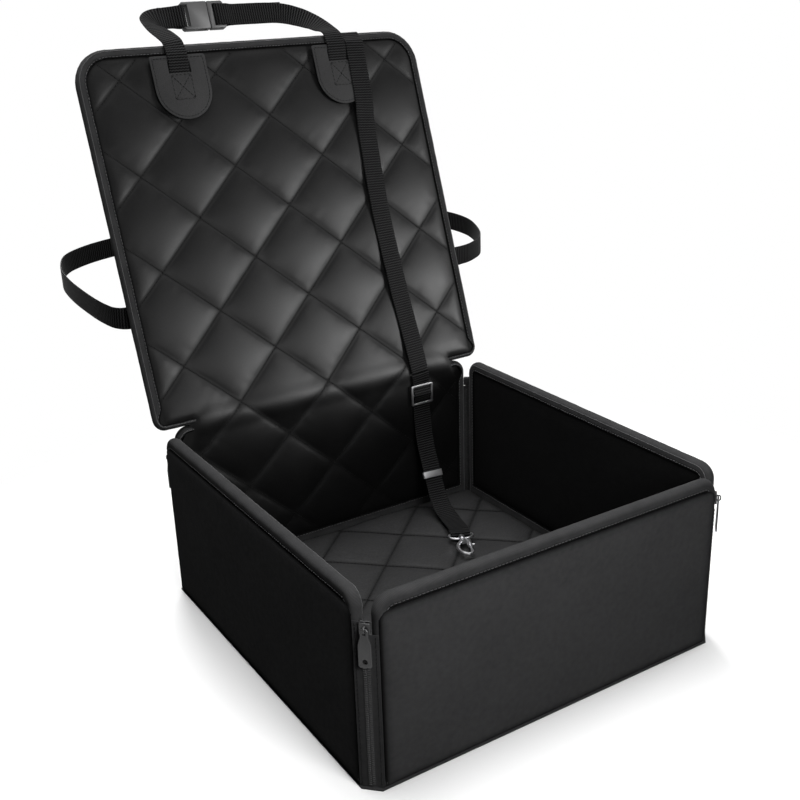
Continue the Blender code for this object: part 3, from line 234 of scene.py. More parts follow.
def webFinish(name, look):
    made = Finish(name, {"Specular IOR Level": 0.01, "Sheen Weight": 0.01, "Sheen Roughness": 0.4})
    (x, y, _), place = made.grain()
    herringbone = y.maths("PINGPONG", y, look["strand"])
    ribs, strands = (x + herringbone * 0.35).wave(look["rib"]), y.wave(look["strand"])
    fuzz = made.cloud(place, 300.0, 2.0)
    tone = (ribs * ribs * 0.8 + strands * 0.15 + fuzz * 0.25 - 0.2).clamp()
    return made.dress(look, tone, fuzz * 0.15, ribs * 0.8 + strands * 0.3)


leatherLook = {"dark": 0.018, "light": 0.034, "grain": 620.0, "depth": 0.04 * mm, "rough": 0.46}


def leatherFinish(name, look):
    made = Finish(name, {"Specular IOR Level": 0.05})
    _, place = made.grain()
    cells = made.node("ShaderNodeTexVoronoi", {"feature": "DISTANCE_TO_EDGE"}, {"Vector": place, "Scale": look["grain"]})
    pebble, soft = (cells * 4.0).clamp(), made.cloud(place, 90.0, 4.0)
    tone = (pebble * 0.5 + soft * 0.6 - 0.1).clamp()
    return made.dress(look, tone, (1 - pebble) * 0.14 + soft * 0.12, pebble * 0.7 + soft * 0.5)


threadLook = {"dark": 0.002, "light": 0.010, "twist": 0.5 * mm, "depth": 0.05 * mm, "rough": 0.5}
rimThreadLook = {**threadLook, "dark": 0.04, "light": 0.14}


def threadFinish(name, look):
    made = Finish(name, {"Specular IOR Level": 0.04, "Sheen Weight": 0.02})
    (x, y, _), _ = made.grain()
    twist = (x + y * 0.8).wave(look["twist"])
    return made.dress(look, twist, twist * 0.1, twist)


plasticLook = {"dark": 0.014, "light": 0.024, "depth": 0.05 * mm, "rough": 0.46, "gloss": 0.28}


def plasticFinish(name, look):
    made = Finish(name, {"Specular IOR Level": look["gloss"]})
    _, place = made.place()
    spark, wear = made.cloud(place, 1400.0, 2.0), made.cloud(place, 60.0, 4.0)
    return made.dress(look, wear, wear * 0.2, spark, strength=0.6)


boardLook = {"dark": (0.42, 0.42, 0.40, 1), "light": (0.62, 0.62, 0.60, 1), "rough": 0.45}


def boardFinish(name, look):
    made = Finish(name, {"Specular IOR Level": 0.4})
    _, place = made.place()
    fibre = made.cloud(place, 240.0)
    made.feed(Base_Color=made.tint(fibre, look["dark"], look["light"]), Roughness=look["rough"] + fibre * 0.2)
    return made.material


def metalFinish(name, look):
    made = Finish(name, {"Specular IOR Level": 0.5, "Metallic": look["metal"]})
    _, place = made.place()
    streak, smear = made.cloud(place, 900.0, 2.0, 0.7), made.cloud(place, 120.0, 4.0)
    return made.dress(look, smear, smear * 0.12 + streak * 0.05, streak)


cloth = {
    "canvas": canvasFinish("blackCanvas", canvasLook),
    "lining": canvasFinish("liningClothPaintedShade", liningShadedLook),
    "quilt": quiltFinish("quiltedCloth", quiltLook),
    "floor": quiltFinish("cushionClothPaintedLight", floorPaintedLightLook),
    "tape": tapeFinish("ribbedBindingTape", tapeLook),
    "web": webFinish("ribbedWebbing", webLook),
    "leather": leatherFinish("greyBlackLeather", leatherLook),
    "thread": threadFinish("sewingThread", threadLook),
    "rimThread": threadFinish("rimThread", rimThreadLook),
    "zip": canvasFinish("zipTapeCloth", zipTapeLook),
    "plastic": plasticFinish("satinPlastic", plasticLook),
    "board": boardFinish("stiffenerBoard", boardLook),
}
for key, name, dark, light, rough, metal, scratch in (("tooth", "darkZipMetal", 0.012, 0.028, 0.32, 0.3, 0.02),
                                                      ("dark", "satinBlackMetal", 0.016, 0.032, 0.30, 0.4, 0.02),
                                                      ("bar", "wornBlackMetal", 0.08, 0.18, 0.30, 0.9, 0.01),
                                                      ("steel", "greySteel", 0.34, 0.46, 0.32, 0.9, 0.01),
                                                      ("bright", "brightPlating", 0.78, 0.92, 0.22, 1.0, 0.005)):
    cloth[key] = metalFinish(name, {"dark": dark, "light": light, "rough": rough, "metal": metal, "depth": scratch * mm})
print("finishes made")


# meshes

def addPiece(name, verts, faces, material, grain, paintedShade=None):
    mesh = bpy.data.meshes.new(name)
    mesh.from_pydata([tuple(v) for v in verts], [], [tuple(f) for f in faces])
    bm = bmesh.new()
    bm.from_mesh(mesh)
    bmesh.ops.recalc_face_normals(bm, faces=bm.faces)
    bm.to_mesh(mesh)
    bm.free()
    woven = mesh.attributes.new("grain", "FLOAT_VECTOR", "POINT")
    woven.data.foreach_set("vector", np.asarray(grain, np.float32).ravel())
    # painted shade per vertex, which the finishes mix towards near-black
    if paintedShade is not None:
        mesh.attributes.new("paintedShade", "FLOAT", "POINT").data.foreach_set("value", np.asarray(paintedShade, np.float32))
    mesh.materials.append(material)
    mesh.shade_smooth()
    piece = show(name, mesh)
    return piece


def pieceFrom(bm, name, place, material, paintedShading=None, sharp=62):
    bm.verts.index_update()
    verts = [v.co.copy() for v in bm.verts]
    # painted shade worked out at each vertex
    paintedShade = [paintedShading(v.x, v.y) for v in verts] if paintedShading else None
    faces = [[v.index for v in f.verts] for f in bm.faces]
    bm.free()
    piece = addPiece(name, [place(v) for v in verts], faces, material, verts, paintedShade)
    piece.data.set_sharp_from_angle(angle=radians(sharp))
    return piece


def settle(piece, body, *replaced):
    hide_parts(*replaced)
    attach(piece, body)


def skinFaces(count, around, closed=False):  # of rings that follow each other
    faces = []
    for i in range(count if closed else count - 1):
        a, b = i * around, ((i + 1) % count) * around
        for j in range(around):
            k = (j + 1) % around
            faces.append((a + j, a + k, b + k, b + j))
    if not closed:
        faces.append(tuple(range(around)))
        faces.append(tuple(range((count - 1) * around, count * around)))
    return faces


def ripple(*spot):  # smooth noise, -1 to 1
    return noise.noise(Vector(spot))


def smoothPath(points, steps):
    points = [Vector(p) for p in points]
    padded = [2 * points[0] - points[1]] + points + [2 * points[-1] - points[-2]]
    path = []
    for a, b, c, d in zip(padded, padded[1:], padded[2:], padded[3:]):
        for step in range(steps):
            t = step / steps
            path.append(0.5 * (2 * b + (c - a) * t + (2 * a - 5 * b + 4 * c - d) * t * t
                               + (3 * b - a - 3 * c + d) * t ** 3))
    return path + [points[-1]]


def arc(centre, radius, start, end, steps):
    angles = [start + (end - start) * i / steps for i in range(steps + 1)]
    return [(centre[0] + radius * cos(a), centre[1] + radius * sin(a)) for a in angles]


def roundedOutline(halfWidth, bottom, top, footRadius, headRadius, steps):
    points = []
    for side, edge, radius, start in ((1, bottom, footRadius, -pi / 2), (1, top, headRadius, 0),
                                      (-1, top, headRadius, pi / 2), (-1, bottom, footRadius, pi)):
        upward = 1 if edge == bottom else -1
        if radius <= 0:
            points.append((side * halfWidth, edge))
        else:
            points += arc((side * (halfWidth - radius), edge + upward * radius), radius, start, start + pi / 2, steps)
    return points


def frameOf(origin, turn, tilt=pi / 2):
    return Matrix.Translation(origin) @ Matrix.Rotation(turn, 4, "Z") @ Matrix.Rotation(tilt, 4, "X")


def through(matrix):
    return lambda spot: matrix @ Vector(spot)


# sewing thread, gathered by the panel that it is sewn into

threads = {}
stitchLook = {"length": 3.0 * mm, "pitch": 4.2 * mm, "radius": 0.36 * mm, "bow": 0.25 * mm}
stitchRings = ((0, -0.8, 0.55, -0.1), (0, 0.5, 1, 0.6), (1, 1, 1, 0), (2, 0.5, 1, -0.6), (2, -0.8, 0.55, 0.1))


def sew(bin_, path, normal, closed=False, look=stitchLook):
    spots = [Vector(p) for p in path]
    if closed:
        spots.append(spots[0])
    lengths = [0.0]
    for a, b in zip(spots, spots[1:]):
        lengths.append(lengths[-1] + (b - a).length)
    normal = Vector(normal)
    count = max(1, int(lengths[-1] / look["pitch"]))
    pitch = lengths[-1] / count
    verts, faces, grain = threads.setdefault(bin_, ([], [], []))

    def at(length):
        length = min(max(length, 0), lengths[-1] - hair)
        i = min(int(np.searchsorted(lengths, length, side="right")) - 1, len(spots) - 2)
        return spots[i].lerp(spots[i + 1], (length - lengths[i]) / max(lengths[i + 1] - lengths[i], hair))

    for n in range(count):
        begin = n * pitch + (pitch - look["length"]) / 2
        ends = [at(begin + look["length"] * s) for s in (0, 0.5, 1)]
        way = (ends[2] - ends[0]).normalized()
        side = normal.cross(way).normalized()
        first = len(verts)
        for end, lift, wide, move in stitchRings:
            centre = ends[end] + normal * look["bow"] * lift + way * look["radius"] * move
            for corner in range(5):
                turn = 2 * pi * corner / 5
                verts.append(centre + side * (look["radius"] * wide * cos(turn))
                             + normal * (look["radius"] * wide * sin(turn)))
                grain.append((begin + (centre - ends[0]).length, corner * 0.4 * mm, 0))
        faces.extend(tuple(first + i for i in face) for face in skinFaces(5, 5))


def addThreads(bin_, place, body=None, finish="thread"):
    verts, faces, grain = threads.pop(bin_)
    piece = addPiece(f"{bin_}_stitching", [place(v) for v in verts], faces, cloth[finish], grain)
    if body:
        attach(piece, body)
    return piece


# padded panels

fold = 1.8 * mm
hingeY, hingeZ = 0.2195, 0.211
lean = radians(19.3)
panelLook = {"nose": 5.0 * mm, "skin": 1.0 * mm, "longLeg": 12.5 * mm, "shortLeg": 6.5 * mm, "footLeg": 21.5 * mm,
             "pucker": 0.22 * mm, "sway": 0.35 * mm, "step": 3.4 * mm, "cord": 0.38 * mm,
             "hem": ((0, 0.55), (0.35, 0.1), (1.5, 0), (2.4, 0.32), (3.3, 0)),  # mm in from the hem, mm deep
             # painted shade on the tape's five hem rows, darkest at the tape's inner end by the groove
             "paintedShade": [0.95, 0.9, 0.8, 0.6, 0.25]}
quiltSize = {"halfWidth": 60.4 * mm, "halfHeight": 56.5 * mm, "crown": 3.2 * mm, "plainCrown": 2.2 * mm,
             "margin": 22 * mm, "steps": 22, "pucker": 0.75 * mm, "cell": 82.6 * mm}
longLeg, shortLeg, footLeg = panelLook["longLeg"], panelLook["shortLeg"], panelLook["footLeg"]
wallLegs = {"side": (shortLeg, longLeg), "foot": (shortLeg, footLeg), "head": (longLeg, longLeg)}


def wallPanel(x, y, turn, half, top, body, node=None, **legs):
    return {"at": frameOf((x, y, fold), turn), "half": half, "top": top, "head": 0.018, "foot": 0, "thick": 0.013,
            "base": 0, "legs": {**wallLegs, **legs}, "node": node, "body": body}


panels = {
    "front_wall": wallPanel(0, -0.2325, pi, 0.2095, 0.2012, "front_wall"),
    "left_wall": wallPanel(-0.225, 0, pi / 2, 0.217, 0.2052, "left_wall"),
    "right_wall": wallPanel(0.225, 0, -pi / 2, 0.217, 0.2052, "right_wall"),
    "back_wall": wallPanel(0, 0.2325, 0, 0.2095, 0.206286, "tray", hingeZ - fold + 0.0124, head=(longLeg, shortLeg)),
    "backrest": {"at": frameOf((0, hingeY, hingeZ), 0, pi / 2 - lean), "half": 0.232, "top": 0.446, "head": 0.042,
                 "foot": 0.014, "thick": 0.013, "base": -0.013, "node": 0.0124, "body": "backrest",
                 "legs": {"side": (longLeg, longLeg), "head": (longLeg, longLeg), "foot": (shortLeg, shortLeg)}},
}


def bindingSection(legs, thick):
    # the folded tape's cut: in from the edge, height, the two parts of its outward way, length round it
    outer, inner = legs
    half, nose, skin, hem = thick / 2, panelLook["nose"], panelLook["skin"], panelLook["hem"]
    last = hem[-1][0] * mm
    cut = [(inner - place * mm, thick - sink * mm, 0, 1) for place, sink in hem]
    cut += [(inner - last - (inner - last - nose) * i / 3, thick, 0, 1) for i in (1, 2)]
    for i in range(11):
        turn = pi * i / 10
        cut.append((nose * (1 - sin(turn)), half + half * cos(turn), -sin(turn), cos(turn)))
    cut += [(nose + (outer - last - nose) * i / 3, 0, 0, -1) for i in (1, 2)]
    cut += [(outer - place * mm, sink * mm, 0, -1) for place, sink in reversed(hem)]
    length, rows = 0, []
    for before, spot in zip(cut[:1] + cut, cut):
        length += hypot(spot[0] - before[0], spot[1] - before[1])
        rows.append((*spot, length))
    inset = nose + gap
    back = [(outer, skin), (inset, skin), (inset, thick - skin), (inner, thick - skin)]
    return rows + [(*spot, 0, 0, 0) for spot in back]


def bindingStations(panel, cornerSteps=8):
    half, top, head, foot = panel["half"], panel["top"], panel["head"], panel["foot"]

    def turned(centre, radius, start, zone):
        outer = arc(centre, radius, start, start + pi / 2, cornerSteps)
        ways = arc((0, 0), -1, start, start + pi / 2, cornerSteps)
        return [(p, w, (zone, zone)) for p, w in zip(outer, ways)]

    stations = [((half, 0), (-1, 1), ("side", "foot"))]
    if foot > 0:
        stations = turned((half - foot, foot), foot, -pi / 2, "foot")
        stations.append(((half, foot + 0.012), (-1, 0), ("side", "side")))
    stations.append(((half, top - head - 0.012), (-1, 0), ("side", "side")))
    stations += turned((half - head, top - head), head, 0, "head")
    return stations + [((-p[0], p[1]), (-n[0], n[1]), zones) for p, n, zones in reversed(stations)]


def bindingRings(panel, cuts, seed):
    stations = bindingStations(panel)
    rings, walked = [], 0

    def spot(station, i, wave, edge):
        (x, y), (wayX, wayY), zones = station
        a, b = (cuts[zone][i] for zone in zones)
        return (x + (a[0] + edge + wave * a[2]) * wayX, y + (b[0] + edge + wave * b[2]) * wayY,
                panel["base"] + a[1] + wave * a[3], a[4])

    for first, second in zip(stations, stations[1:] + stations[:1]):
        span = hypot(second[0][0] - first[0][0], second[0][1] - first[0][1])
        count = max(1, ceil(span / panelLook["step"]))
        for t in (step / count for step in range(count)):
            u = walked + span * t
            ring = []
            for i, row in enumerate(cuts["side"]):
                wave = panelLook["pucker"] * (ripple(u * 95, i * 0.21, seed) + 0.5 * ripple(u * 260, i * 0.3, seed + 9))
                edge = panelLook["sway"] * ripple(u * 70, 0 if i < 8 else 5, seed + 3) if abs(row[3]) == 1 else 0
                pair = [spot(station, i, wave, edge) for station in (first, second)]
                ring.append([a + (b - a) * t for a, b in zip(*pair)])
            rings.append((u, ring))
        walked += span
    return rings


def makeBinding(name, panel, seed):
    place = through(panel["at"])
    cuts = {zone: bindingSection(legs, panel["thick"]) for zone, legs in panel["legs"].items()}
    rings = bindingRings(panel, cuts, seed)
    around = len(rings[0][1])
    verts = [place(spot[:3]) for _, ring in rings for spot in ring]
    grain = [(u, spot[3], 0) for u, ring in rings for spot in ring]
    # painted shade: the hem rows darker next to the groove, the hidden back rows fully dark
    paintedHemShade = panelLook["paintedShade"]
    paintedShade = paintedHemShade + [0] * (around - 2 * len(paintedHemShade) - 4) + paintedHemShade[::-1] + [1] * 4
    piece = addPiece(f"{name}_binding_tape", verts, skinFaces(len(rings), around, closed=True), cloth["tape"], grain,
                     paintedShade * len(rings))
    settle(piece, panel["body"], f"{name}_edge_binding")
    # the tape's folded edge, a fine cord that catches the light, in the lighter rim thread that paints a highlight
    # along the fold
    radius, cord = panelLook["cord"], []
    for _, ring in rings:
        spot = Vector(ring[8][:3])
        flat = ((Vector(ring[7][:3]) - spot) * Vector((1, 1, 0))).normalized()
        for turn in (2 * pi * k / 5 for k in range(5)):
            cord.append(spot + flat * (radius * cos(turn)) + Vector((0, 0, radius * sin(turn) + 0.1 * mm)))
    edge = addPiece(f"{name}_binding_fold_highlight", [place(spot) for spot in cord], skinFaces(len(rings), 5, closed=True),
                    cloth["rimThread"], cord)
    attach(edge, panel["body"])
    for row, way in ((3, 1), (around - 8, -1)):
        lift = 0.1 * mm * way
        sew(name, [(*ring[row][:2], ring[row][2] + lift) for _, ring in rings], (0, 0, way), closed=True)


def edgeDistance(outline, x, y):  # how far inside a convex outline, for numbers or arrays
    least = None
    for (x0, y0), (x1, y1) in zip(outline, outline[1:] + outline[:1]):
        dx, dy = x1 - x0, y1 - y0
        distance = (dx * (y - y0) - dy * (x - x0)) / sqrt(dx * dx + dy * dy)
        least = distance if least is None else np.minimum(least, distance)
    return least


def quiltCell(x, y, node):  # the spot in cells, along the two directions of the seams
    across, along = x / quiltSize["halfWidth"], (y - node) / quiltSize["halfHeight"]
    return (across + along) / 2, (across - along) / 2


def quiltShare(x, y, node, seed):
    # share of the crown in a diamond cell, with puckers that run in from its seams
    p, q = quiltCell(x, y, node)
    cell = quiltSize["cell"]
    share = sqrt(abs(sin(pi * p) * sin(pi * q)))
    share *= 0.90 + 0.10 * ripple(floor(p) * 7.3, floor(q) * 5.1, seed)
    dents = 0
    for near, far, key in ((p, q, 1), (q, p, 2)):
        distance = abs(near - round(near)) * cell
        side = round(near) * 13.7 + (5 if near > round(near) else 0) + key * 31
        wrinkle = ripple(far * cell * 120, side, seed) + 0.6 * ripple(far * cell * 290, side + 3, seed)
        dents += max(0, 0.35 + wrinkle) * exp(-distance / (8 * mm)) * (1 - exp(-distance / (1.3 * mm)))
    return share, dents


def seamGrid(outline, node):
    # cells that lie along the two directions of the quilt's seams
    wide, high, steps = quiltSize["halfWidth"], quiltSize["halfHeight"], quiltSize["steps"]
    cells = [quiltCell(x, y, node) for x, y in outline]
    xs, ys = [x for x, y in outline], [y for x, y in outline]
    spare = 5 * mm
    bm, made = bmesh.new(), {}

    def corner(i, j):
        if (i, j) not in made:
            made[i, j] = bm.verts.new(((i + j) / steps * wide, node + (i - j) / steps * high, 0))
        return made[i, j]

    low, top = ([floor(min(c[k] for c in cells) * steps) - 1 for k in (0, 1)],
                [ceil(max(c[k] for c in cells) * steps) + 1 for k in (0, 1)])
    for i in range(low[0], top[0]):
        for j in range(low[1], top[1]):
            x, y = (i + j + 1) / steps * wide, node + (i - j) / steps * high
            if min(xs) - spare < x < max(xs) + spare and min(ys) - spare < y < max(ys) + spare:
                bm.faces.new([corner(*c) for c in ((i, j), (i + 1, j), (i + 1, j + 1), (i, j + 1))])
    return bm


def squareGrid(outline, cell=5 * mm):
    xs, ys = [x for x, y in outline], [y for x, y in outline]
    wide, high = max(xs) - min(xs), max(ys) - min(ys)
    bm = bmesh.new()
    bmesh.ops.create_grid(bm, x_segments=ceil(wide / cell), y_segments=ceil(high / cell), size=0.5)
    for v in bm.verts:
        v.co = (min(xs) + (v.co.x + 0.5) * wide, min(ys) + (v.co.y + 0.5) * high, 0)
    return bm


def withEdges(faces):  # a set would change their order from run to run
    edges = dict.fromkeys(e for f in faces for e in f.edges)
    verts = dict.fromkeys(v for f in faces for v in f.verts)
    return [*verts, *edges, *faces]


def cutAlong(bm, outline, clear=False):
    reach = 6 * mm if clear else gap
    for (x0, y0), (x1, y1) in zip(outline, outline[1:] + outline[:1]):
        low, high = (min(x0, x1) - reach, min(y0, y1) - reach), (max(x0, x1) + reach, max(y0, y1) + reach)
        faces = [f for f in bm.faces if all(min(v.co[i] for v in f.verts) < high[i]
                                            and max(v.co[i] for v in f.verts) > low[i] for i in (0, 1))]
        bmesh.ops.bisect_plane(bm, geom=withEdges(faces), dist=gap / 30, plane_co=(x0, y0, 0),
                               plane_no=Vector((y1 - y0, x0 - x1, 0)).normalized(), clear_outer=clear)
    if clear:
        centres = np.array([f.calc_center_median()[:2] for f in bm.faces])
        inside = edgeDistance(outline, centres[:, 0], centres[:, 1])
        stray = [f for f, d in zip(bm.faces, inside) if d < -gap / 10]
        bmesh.ops.delete(bm, geom=stray, context="FACES")
    bmesh.ops.remove_doubles(bm, verts=bm.verts, dist=gap / 10)


def rises(bm, crownEdge, margin):
    spots = np.array([v.co[:2] for v in bm.verts])
    inside = np.clip(edgeDistance(crownEdge, spots[:, 0], spots[:, 1]) / margin, 0, 1)
    return np.sqrt(inside * (2 - inside))


def newVerts(grown):
    return [item for item in grown["geom"] if isinstance(item, bmesh.types.BMVert)]


def closePad(bm, back):
    for v in newVerts(bmesh.ops.extrude_edge_only(bm, edges=[e for e in bm.edges if e.is_boundary])):
        v.co.z = back
    return bmesh.ops.contextual_create(bm, geom=[e for e in bm.edges if e.is_boundary])["faces"]


# painted shade at a distance in from a seam or edge: most at the edge, fading over the reach
def paintedSeamShade(distance, reach, most):
    return most * exp(-max(float(distance), 0) / reach)


def quiltSeams(x, y, node):  # distance to the nearest seam
    return min(abs(s - round(s)) for s in quiltCell(x, y, node)) * quiltSize["cell"]


# borderReach, border, seamReach and seam: the painted shade at the pad's edge and on its quilt seams
padLook = {"slack": 0.9 * mm, "borderReach": 5 * mm, "border": 0.8, "seamReach": 3 * mm, "seam": 0.75, "fill": 0.55}


def makePad(name, outline, crownEdge, back, face, crown, node, place, seed, body, replaced):
    quilted = node is not None
    bm = seamGrid(outline, node) if quilted else squareGrid(outline)
    cutAlong(bm, outline, clear=True)
    cutAlong(bm, crownEdge)
    for v, rise in zip(bm.verts, rises(bm, crownEdge, quiltSize["margin"])):
        x, y = v.co.x, v.co.y
        if quilted:
            share, dents = quiltShare(x, y, node, seed)
            height = crown * rise * share - quiltSize["pucker"] * dents * min(1, rise * 1.6)
        else:
            slack = 0.5 * ripple(x * 9, y * 12, seed) + 0.3 * ripple(x * 26, y * 31, seed + 2)
            height = crown * rise - padLook["slack"] * rise * (0.5 + slack)
        v.co.z = face + height
    closePad(bm, back)

    # painted shade in the groove round the pad's edge and on its quilt seams
    def paintedShading(x, y):
        border = paintedSeamShade(edgeDistance(crownEdge, x, y), padLook["borderReach"], padLook["border"])
        seam = paintedSeamShade(quiltSeams(x, y, node), padLook["seamReach"], padLook["seam"]) if quilted else 0
        return max(border, seam)

    # the cushion takes the quilted cloth painted lighter for light, the plain linings the canvas painted darker for
    # shade
    finish, slot = ("floor", "quilted_cloth") if quilted else ("lining", "canvas")
    piece = pieceFrom(bm, name, place, cloth[finish], paintedShading)
    settle(piece, body, replaced)


quiltStitch = {"length": 3.1 * mm, "pitch": 4.4 * mm, "radius": 0.30 * mm, "bow": 0.22 * mm, "lift": 0.28 * mm,
               "lines": 9, "steps": 100}


def sewQuilt(bin_, node, level):  # level(x, y) is the cloth's height on a seam, or None off the cloth
    lines, steps = quiltStitch["lines"], quiltStitch["steps"]
    for family in (0, 1):
        for line in range(-lines, lines + 1):
            run = []
            for step in range(-lines * steps, lines * steps + 1):
                p, q = (line, step / steps) if family == 0 else (step / steps, line)
                x, y = (p + q) * quiltSize["halfWidth"], node + (p - q) * quiltSize["halfHeight"]
                height = level(x, y)
                if height is not None:
                    run.append((x, y, height + quiltStitch["lift"]))
            if len(run) > 3:
                sew(bin_, run, (0, 0, 1), look=quiltStitch)


# the quilted cloth of the back wall and the backrest is one piece that bends over the fold.
# It is worked out flat: x across, s up from the fold, h out of the inner face.

foldLook = {"half": 14 * mm, "lift": 2.4 * mm, "reach": 20 * mm, "neck": 0.186, "crownNeck": 0.168, "open": 0.05,
            "shoulder": -0.022, "crownShoulder": -0.030, "node": 12.4 * mm, "back": -6.9 * mm, "under": -1.3 * mm,
            # the reaches and depths below: the painted shade at the quilt's edge by the binding and on its seams
            "borderReach": 3.2 * mm, "border": 0.95, "seamReach": 2.4 * mm, "seam": 0.7}


def overFold(spot):
    x, s, h = spot
    half = foldLook["half"]
    if s >= half:
        turn, y, z = lean, s * sin(lean), s * cos(lean)
    elif s <= -half:
        turn, y, z = 0, 0, s
    else:
        t = (s / half + 1) / 2
        y, z = t * t * half * sin(lean), half * (t * t * cos(lean) - (1 - t) ** 2)
        turn = atan2(t * sin(lean), 1 - t + t * cos(lean))
    return Vector((x, hingeY + y - h * cos(turn), hingeZ + z + h * sin(turn)))


def bendOver(piece):
    half = foldLook["half"]
    overFold((0, -half, 0))
    overFold((0, half, 0))
    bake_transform(piece)


def backQuiltMesh(look, restOutline, restCrown, wallOutline, wallCrown, core):
    bm, lower = seamGrid(restOutline, look["node"]), seamGrid(wallOutline, look["node"])
    cutAlong(bm, restOutline, clear=True)
    cutAlong(bm, restCrown)
    for x in (-look["neck"], look["neck"]):
        cutAlong(bm, [(x, core - gap), (x, core + 5 * mm)])
    cutAlong(lower, wallOutline, clear=True)
    cutAlong(lower, wallCrown[:3] + wallCrown[5:])
    mesh = bpy.data.meshes.new("lower")
    lower.to_mesh(mesh)
    lower.free()
    bm.from_mesh(mesh)
    bmesh.ops.remove_doubles(bm, verts=bm.verts, dist=gap / 10)
    return bm


def makeBackQuilt(look, seed):
    wall, rest = panels["back_wall"], panels["backrest"]
    core = panelLook["nose"] + 2 * gap
    foot = fold - hingeZ
    side, neck, shoulder = wall["half"] - core, look["neck"], look["shoulder"]
    edge, crownNeck, crownShoulder = wall["half"] - longLeg - gap, look["crownNeck"], look["crownShoulder"]
    restOutline = roundedOutline(rest["half"] - core, core, rest["top"] - core, rest["foot"] - core,
                                 rest["head"] - core, 6)
    wallOutline = [(-side, foot + core), (side, foot + core), (side, shoulder),
                   (neck, core), (-neck, core), (-side, shoulder)]
    restCrown = roundedOutline(rest["half"] - longLeg - gap, shortLeg + gap, rest["top"] - longLeg - gap,
                               rest["foot"] - longLeg, rest["head"] - longLeg, 6)
    wallCrown = [(-edge, foot + footLeg + gap), (edge, foot + footLeg + gap), (edge, crownShoulder),
                 (crownNeck, look["open"]), (-crownNeck, look["open"]), (-edge, crownShoulder)]
    bm = backQuiltMesh(look, restOutline, restCrown, wallOutline, wallCrown, core)

    def inward(x, s):
        return np.maximum(edgeDistance(restCrown, x, s), edgeDistance(wallCrown, x, s))

    def seamLevel(s, distance):
        near = max(0, 1 - abs(s) / look["reach"])
        near = near * near * (3 - 2 * near)
        return look["under"] + look["lift"] * near * min(1, max(0, distance) / (5 * mm)), near

    spots = np.array([v.co[:2] for v in bm.verts])
    crown = quiltSize["crown"] - look["under"]
    for v, distance in zip(bm.verts, inward(spots[:, 0], spots[:, 1])):
        inside = min(max(distance / quiltSize["margin"], 0), 1)
        rise = sqrt(inside * (2 - inside))
        level, near = seamLevel(v.co.y, distance)
        share, dents = quiltShare(v.co.x, v.co.y, look["node"], seed)
        v.co.z = (level + crown * rise * share * (1 - 0.3 * near)
                  - quiltSize["pucker"] * dents * min(1, rise * 1.6) * (1 - 0.6 * near))
    cap = closePad(bm, look["back"])
    for s in (-look["half"], -look["half"] / 3, 0, look["half"] / 3, look["half"]):
        bmesh.ops.bisect_plane(bm, geom=withEdges(cap), dist=gap / 30, plane_co=(0, s, 0), plane_no=(0, 1, 0))
        cap = [f for f in bm.faces if all(abs(v.co.z - look["back"]) < gap / 10 for v in f.verts)]

    # painted shade in the groove by the binding and on the quilt's seams
    def paintedShading(x, s):
        return max(paintedSeamShade(inward(x, s), look["borderReach"], look["border"]),
                   paintedSeamShade(quiltSeams(x, s, look["node"]), look["seamReach"], look["seam"]))

    piece = pieceFrom(bm, "back_quilted_cloth", overFold, cloth["quilt"], paintedShading)
    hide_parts("back_wall_quilted_pad", "backrest_quilted_pad")
    bendOver(piece)

    def level(x, s):
        distance = float(inward(x, s))
        return seamLevel(s, distance)[0] if distance > 0.5 * mm else None

    sewQuilt("back_quilt", look["node"], level)
    bendOver(addThreads("back_quilt", overFold))
    print("back quilt made")


outerLook = {"skin": 1.2 * mm, "swell": 1.6 * mm, "edge": 9 * mm, "under": -1.3 * mm, "end": 2.6 * mm,
             "endLevel": -0.5 * mm, "foot": 0.8 * mm, "footLevel": -2.2 * mm, "round": 9 * mm, "footRound": 2 * mm,
             # the last three values below: the painted shade in the groove along the cloth's edge
             "ease": 12 * mm, "insets": (0, 1.5 * mm, 3.5 * mm), "shadeFrom": 1 * mm, "shadeReach": 3 * mm, "paintedShade": 0.9}


